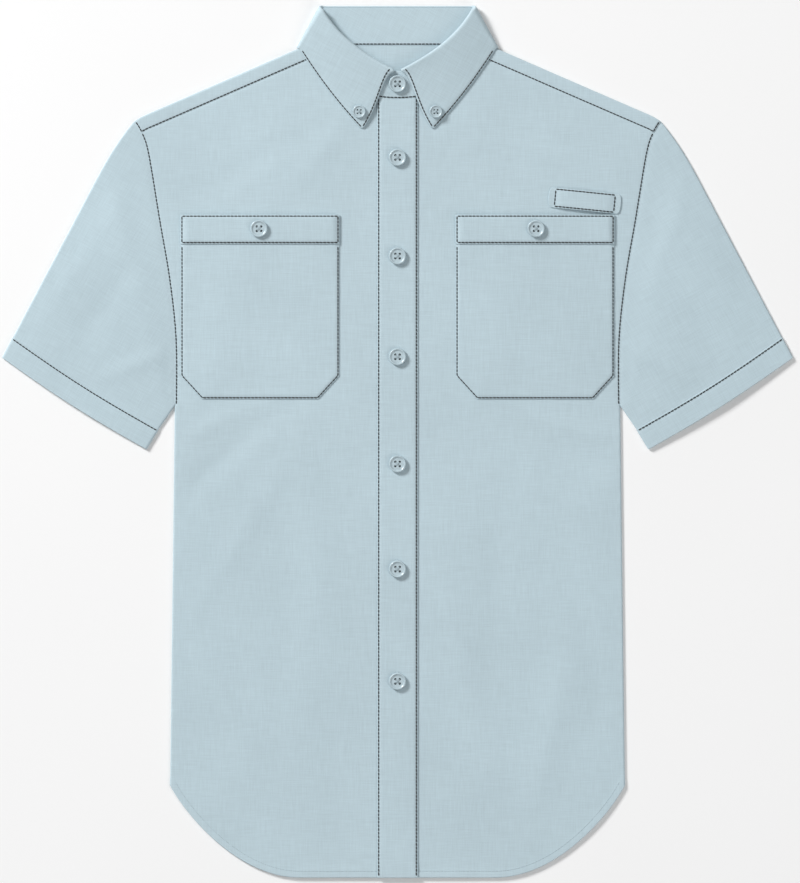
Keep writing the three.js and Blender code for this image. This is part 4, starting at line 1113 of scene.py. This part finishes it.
def sew_all():
    """Every row of stitches, as one piece of thread for each piece of cloth."""
    rows = {}

    def sew(node, line, up=1):
        rows.setdefault((node, up), []).extend(running_stitches(node, line, up))

    armhole, yoke_front = armhole_line(0, AT_FRONT_YOKE), armhole_line(AT_FRONT_YOKE, AT_SHOULDER)
    back_armhole, yoke_back = armhole_line(0, AT_BACK_YOKE), armhole_line(AT_BACK_YOKE, AT_SHOULDER)
    yoke_seam = front_yoke_seam()
    pocket_row = beside(pocket_outline(), EDGE_STITCH)
    pocket_row[[0, -1], 1] = POCKET["band"] - EDGE_STITCH
    band_low, band_high = POCKET["band"] + EDGE_STITCH, POCKET["top"] - EDGE_STITCH
    ends = (POCKET["inner"] + EDGE_STITCH, POCKET["outer"] - EDGE_STITCH)
    leaf_edge = beside(bezier(LEAF_EDGE), -EDGE_STITCH)[1:-1]
    leaf_front = beside(bezier(LEAF_FRONT), EDGE_STITCH)[3:-1]
    for side, sign in SIDES:
        cuff_row, edge = beside(bowed(STITCH_BOTTOM, STITCH_TOP), -SEAM_STITCH), PLACKET_HALF - EDGE_STITCH
        box = [(ends[0], band_high), (ends[0], band_low), (ends[1], band_low), (ends[1], band_high)]
        table = [
            (f"front_{side}", beside(armhole, SEAM_STITCH), 1),
            ("back_yoke", beside(yoke_front, SEAM_STITCH), 1),
            ("back_panel", beside(back_armhole, SEAM_STITCH), -1),
            ("back_yoke", beside(yoke_back, SEAM_STITCH), -1),
            ("back_yoke", beside(yoke_seam, SEAM_STITCH), 1),
            (f"pocket_{side}", pocket_row, 1),
            *((f"pocket_band_{side}", bezier(pair), 1) for pair in zip(box, box[1:] + box[:1])),
            (f"sleeve_hem_{side}", cuff_row, 1),
            (f"sleeve_hem_{side}", cuff_row, -1),
            ("front_placket", bezier([(edge, 1), (edge, neck_h(edge) - PLACKET_ROW_END)]), 1),
            ("collar_leaf", leaf_edge, 1),
            ("collar_leaf", leaf_front, 1),
        ]
        for node, line, up in table:
            sew(node, line * (sign, 1), up)
    stand_x = np.linspace(-PLACKET_HALF, PLACKET_HALF, STAND_ROW_POINTS)
    sew("collar_stand", np.stack([stand_x, neck_h(stand_x) + STAND_STITCH], axis=1))
    back_row_h = BACK_NECK_H + STAND_STITCH
    sew("collar_stand", bezier([(-BACK_NECK_ROW_X, back_row_h), (BACK_NECK_ROW_X, back_row_h)]))
    tab_row_x = TAB["width"] / 2 - TAB["sewn"]
    end_row = np.linspace(-TAB_END_ROW, TAB_END_ROW, TAB_END_POINTS) * TAB["height"]
    long_row = np.linspace(-1, 1, TAB_ROW_POINTS) * tab_row_x
    for end in (-1, 1):
        tab_row_up = end * (TAB["height"] / 2 - EDGE_STITCH)
        sew("utility_tab", tab_point(np.full(TAB_END_POINTS, end * tab_row_x), end_row))
        sew("utility_tab", tab_point(long_row, np.full(TAB_ROW_POINTS, tab_row_up)))
    corner, row_h = ARMHOLE[AT_BACK_YOKE][0] - 1, BACK_YOKE_H + SEAM_STITCH
    sew("back_yoke", bezier([(-corner, row_h), (corner, row_h)]), -1)
    made = {}
    for (node, up), spans in rows.items():
        name, radius = (node, STITCH["radius"]) if up == 1 else (node + "_under", UNDER_STITCH_RADIUS)
        made[name] = add_threads("stitching_" + name, spans, radius)
    hems = {"front_left": beside(hem_line(PLACKET_HALF), HEM_STITCH)}
    hems["front_right"] = mirror(hems["front_left"])
    hems["back_panel"] = beside(chain(mirror(hem_line(0)), hem_line(0)), HEM_STITCH)
    for node, line in hems.items():
        spans = running_stitches(node, line, -1 if node == "back_panel" else 1)
        made[node + "_hem"] = add_threads(f"stitching_{node}_hem", spans, UNDER_STITCH_RADIUS, tonal_thread)
    return made


# Buttons

BUTTON_SEGMENTS = 64
BUTTON_HOLE = {"at": 0.25, "radius": 0.135, "segments": 20}
BUTTON_FACE, BUTTON_SHARP = 0.62, math.radians(42)
CROSS_RADIUS, CROSS_SPREAD, CROSS_RISE, CROSS_SINK = 0.2, 0.2, 0.34, 0.1
# The dark shank thread low in each button hole, which paints shade into the holes: its radius, its spread
# across a hole and its height
HOLE_SHADE_RADIUS, HOLE_SHADE_SPREAD, HOLE_SHADE_UP = 0.4, 0.6, 0.25
# The button's section in shares of its radius and height, from the middle of its underside to its face
BUTTON_SECTION = [
    (0, 0.06), (0.5, 0.03), (0.8, 0), (0.9, 0.06), (0.965, 0.2), (0.995, 0.4), (1, 0.55), (0.985, 0.76),
    (0.95, 0.92), (0.9, 1), (0.85, 1), (0.805, 0.93), (0.77, 0.82), (0.72, 0.7), (0.66, 0.645),
    (0.56, BUTTON_FACE), (0.3, BUTTON_FACE), (0, BUTTON_FACE),
]


def lathe(section, segments):
    """Points and faces of a section turned round the Z axis. Its ends lie on the axis."""
    angle = 2 * math.pi * np.arange(segments) / segments
    inner = section[1:-1]
    rings = [(r * math.cos(a), r * math.sin(a), z) for r, z in inner for a in angle]
    points = [(0, 0, section[0][1]), *rings, (0, 0, section[-1][1])]
    last, faces = len(points) - 1, []
    for i in range(segments):
        j = (i + 1) % segments
        faces.append((0, 1 + j, 1 + i))
        for k in range(len(inner) - 1):
            low, high = 1 + k * segments, 1 + (k + 1) * segments
            faces.append((low + i, low + j, high + j, high + i))
        top = 1 + (len(inner) - 1) * segments
        faces.append((top + i, top + j, last))
    return points, faces


def scratch_object(name, points, faces):
    mesh = bpy.data.meshes.new(name)
    mesh.from_pydata([tuple(c * MM for c in point) for point in points], [], faces)
    made = bpy.data.objects.new(name, mesh)
    bpy.context.scene.collection.objects.link(made)
    return made


def button_mesh(name, radius, height):
    """A dished button with a rolled rim and four holes right through."""
    section = [(share * radius, up * height) for share, up in BUTTON_SECTION]
    disc = scratch_object(name, *lathe(section, BUTTON_SEGMENTS))
    drill_radius, reach = BUTTON_HOLE["radius"] * radius, BUTTON_HOLE["at"] * radius
    for x in (-reach, reach):
        for y in (-reach, reach):
            pin = [(0, -height), (drill_radius, -height), (drill_radius, 2 * height), (0, 2 * height)]
            points, faces = lathe(pin, BUTTON_HOLE["segments"])
            drill = scratch_object("drill", [(px + x, py + y, pz) for px, py, pz in points], faces)
            cut = disc.modifiers.new("hole", "BOOLEAN")
            cut.operation, cut.object, cut.solver = "DIFFERENCE", drill, "EXACT"
            cut_disc = disc.evaluated_get(bpy.context.evaluated_depsgraph_get())
            shaped = bpy.data.meshes.new_from_object(cut_disc)
            disc.modifiers.clear()
            disc.data = shaped
            bpy.data.objects.remove(drill)
    mesh = disc.data
    bpy.data.objects.remove(disc)
    mesh.materials.clear()
    mesh.materials.append(resin)
    mesh.shade_smooth()
    mesh.set_sharp_from_angle(angle=BUTTON_SHARP)
    return mesh


def seat_of(node):
    """Where a CAD button sits: the middle of its underside, its axis, radius and height, in millimetres."""
    points = np.array([v.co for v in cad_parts[node].data.vertices], float) / MM
    middle = (points.max(axis=0) + points.min(axis=0)) / 2
    _, _, axes = np.linalg.svd(points - points.mean(axis=0), full_matrices=False)
    axis = axes[2] * np.sign(axes[2][2])
    heights = (points - middle) @ axis
    around = points - middle - heights[:, None] * axis
    radius, height = np.linalg.norm(around, axis=1).max(), np.ptp(heights)
    return middle + axis * heights.min(), axis, radius, height


def make_buttons():
    """Each button, the crossed thread that holds it, and a dark shank thread low in its holes, whose dark
    colour is painted shade that darkens the holes.
    """
    meshes, painted_shade_threads = {}, []
    sides = [f"{kind}_button_{side}" for kind in ("pocket", "collar") for side, _ in SIDES]
    for node in ["stand_button", *FRONT_BUTTONS, *sides]:
        foot, axis, radius, height = seat_of(node)
        size = round(radius, 1)
        if size not in meshes:
            meshes[size] = button_mesh(f"button_{int(size * 10)}", radius, height)
        turn = Vector((0, 0, 1)).rotation_difference(Vector(axis)).to_matrix()
        button = bpy.data.objects.new("resin_" + node, meshes[size].copy())
        bpy.context.scene.collection.objects.link(button)
        button.data.transform(Matrix.Translation(Vector(foot * MM)) @ turn.to_4x4())
        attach(button, "root")
        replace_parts(button, node)

        def run(points):
            return (*(foot + np.array(turn) @ np.array(point, float) for point in points), axis)

        reach, face = BUTTON_HOLE["at"] * radius, BUTTON_FACE * height
        cross = []
        for y in (1, -1):
            for shift in (-CROSS_SPREAD, CROSS_SPREAD):
                start = (-reach + y * shift, -y * reach - shift, face - CROSS_SINK)
                end = (reach + y * shift, y * reach - shift, face - CROSS_SINK)
                cross.append(run([start, (y * shift, -shift, face + CROSS_RISE), end]))
        add_threads("thread_" + node, cross, CROSS_RADIUS, tonal_thread)
        # Dark thread low in each hole, where the crossed thread above is tonal: painted shade that darkens
        # the holes
        wrap = BUTTON_HOLE["radius"] * radius
        for x in (reach, -reach):
            for y in (reach, -reach):
                for shift in (-HOLE_SHADE_SPREAD, 0, HOLE_SHADE_SPREAD):
                    column = x + shift * wrap
                    painted_shade_threads.append(run([(column, y + along * wrap, HOLE_SHADE_UP) for along in (-1, 0, 1)]))
    # One piece of dark thread for all the holes: painted shade
    add_threads("thread_painted_hole_shade", painted_shade_threads, HOLE_SHADE_RADIUS)


# Buttonholes: two beads of close stitches beside a slit, and a bar at each end

BEAD_PITCH, BEAD_ASIDE, BEAD_HALF_WIDTH, BEAD_RADIUS, BEAD_SLACK = 0.42, 0.75, 0.55, 0.26, 0.01
BAR_STITCHES, BAR_HALF_WIDTH = (0, 0.35, 0.7, 1.05), 1.3
TO_LEAF_TIP = (-2.8, -16.3)


def buttonhole(node, centre, length, direction):
    along = np.array(direction, float) / np.linalg.norm(direction)
    across = np.array([-along[1], along[0]])
    spans = []

    def stitch(up, aside, half_width):
        point = np.array(centre) + along * up + across * aside
        hits = [surface_point(node, point + across * half_width * way) for way in (-1, 0, 1)]
        if all(place is not None for place, _ in hits):
            spans.append((*(place for place, _ in hits), hits[1][1]))

    for up in np.arange(-length / 2, length / 2 + BEAD_SLACK, BEAD_PITCH):
        for aside in (-BEAD_ASIDE, BEAD_ASIDE):
            stitch(up, aside, BEAD_HALF_WIDTH)
    for end in (-1, 1):
        for up in BAR_STITCHES:
            stitch(end * (length / 2 + up), 0, BAR_HALF_WIDTH)
    return spans


def make_buttonholes():
    rows = {}

    def sew(cloth, button, length, direction):
        foot = seat_of(button)[0]
        made = buttonhole(cloth, (foot[0], foot[1] + LENGTH / 2), length, direction)
        rows.setdefault(cloth, []).extend(made)

    for button in FRONT_BUTTONS:
        sew("front_placket", button, BUTTONHOLE, (0, 1))
    sew("collar_stand", "stand_button", BUTTONHOLE, (1, 0))
    for side, sign in SIDES:
        sew(f"pocket_band_{side}", f"pocket_button_{side}", BUTTONHOLE, (0, 1))
        sew("collar_leaf", f"collar_button_{side}", COLLAR_BUTTONHOLE, np.array(TO_LEAF_TIP) * (sign, 1))
    return {
        cloth: add_threads("buttonholes_" + cloth, spans, BEAD_RADIUS, tonal_thread)
        for cloth, spans in rows.items()
    }


# The shirt

make_back_panel()
make_yoke()
make_front("front_left", FRONTS_MEET_X, 1)
make_front("front_right", -FRONTS_MEET_X, -1)
make_placket()
make_stand()
make_leaf()
make_tab()
for side, sign in SIDES:
    make_sleeve(side, sign)
    make_sleeve_hem(side, sign)
    make_pocket(side, sign)
    make_pocket_band(side, sign)
stitching = sew_all()
holes = make_buttonholes()
make_buttons()

# The flat cut of each sheet: its width and length in millimetres, its area in square metres as worked out
# from the outlines above, how it is held, and what it lies on
CUTS = [
    ("back_panel", 460, 665, 0.27171, "laid", ["floor"]),
    ("back_yoke", 484, 116, 0.04206, "folded", ["floor"]),
    ("front_left", 220, 754, 0.13758, "laid", ["cloth_back_panel"]),
    ("front_right", 252, 754, 0.16049, "laid", ["cloth_back_panel"]),
    ("front_placket", 36.8, 717, 0.02635, "laid", ["cloth_front_left", "cloth_front_right"]),
    ("collar_stand", 408, 37, 0.01192, "laid", ["cloth_collar_leaf"]),
    ("collar_leaf", 385, 70, 0.01803, "folded", ["floor", "cloth_front_left", "cloth_front_right"]),
    ("utility_tab", 66.4, 18, 0.00118, "laid", ["cloth_front_left"]),
]
for side, _ in SIDES:
    CUTS += [
        (f"sleeve_{side}", 320, 228, 0.04649, "folded", ["floor"]),
        (f"sleeve_hem_{side}", 316, 21, 0.00648, "folded", ["floor"]),
        (f"pocket_{side}", 145.6, 169, 0.0242, "laid", [f"cloth_front_{side}"]),
        (f"pocket_band_{side}", 145.6, 26.4, 0.00384, "laid", [f"cloth_pocket_{side}"]),
    ]


# Floor, light and camera


def make_stage():
    points = [(-FLOOR, -FLOOR, 0), (FLOOR, -FLOOR, 0), (FLOOR, FLOOR, 0), (-FLOOR, FLOOR, 0)]
    material, shader = new_material("floor_paper")
    where = node(material, "TexCoord").outputs["Object"]
    tone = blend(material, stretched_noise(material, where, (2, 2, 2)), (0.9, 0.9, 0.9), (0.94, 0.94, 0.94))
    finished(material, shader, {"Base Color": tone}, {"Roughness": 0.9})
    mesh = bpy.data.meshes.new("floor")
    mesh.from_pydata([tuple(c * MM for c in point) for point in points], [], [(0, 1, 2, 3)])
    mesh.materials.append(material)
    floor = bpy.data.objects.new("floor", mesh)
    bpy.context.scene.collection.objects.link(floor)


# Lights: where each stands, its width, and its power in watts
LIGHTS = [
    ("key", (-4.2, 3.7, 3.1), 1.5, 440),
    ("fill", (2.6, -2.0, 2.2), 1.8, 40),
    ("top", (0.2, 0.0, 3.6), 2.4, 16),
]
WORLD_STRENGTH = 0.24


def make_lights():
    for name, place, size, power in LIGHTS:
        data = bpy.data.lights.new(name, "AREA")
        data.size, data.energy = size, power
        made = bpy.data.objects.new(name, data)
        made.location = place
        made.rotation_euler = (-Vector(place)).to_track_quat("-Z", "Y").to_euler()
        bpy.context.scene.collection.objects.link(made)
    world = bpy.data.worlds.new("studio")
    world.use_nodes = True
    background = world.node_tree.nodes["Background"].inputs
    background["Color"].default_value = (1, 1, 1, 1)
    background["Strength"].default_value = WORLD_STRENGTH
    bpy.context.scene.world = world
    bpy.context.scene.view_settings.view_transform = "Standard"


def make_camera():
    data = bpy.data.cameras.new("camera")
    data.sensor_width = SENSOR
    data.lens = SENSOR * CAMERA_HEIGHT / IMAGE_HEIGHT
    data.clip_end = 100
    camera = bpy.data.objects.new("camera", data)
    camera.location = (IMAGE_CENTRE_X * MM, 0, CAMERA_HEIGHT * MM)
    bpy.context.scene.collection.objects.link(camera)
    bpy.context.scene.camera = camera


make_stage()
make_lights()
make_camera()
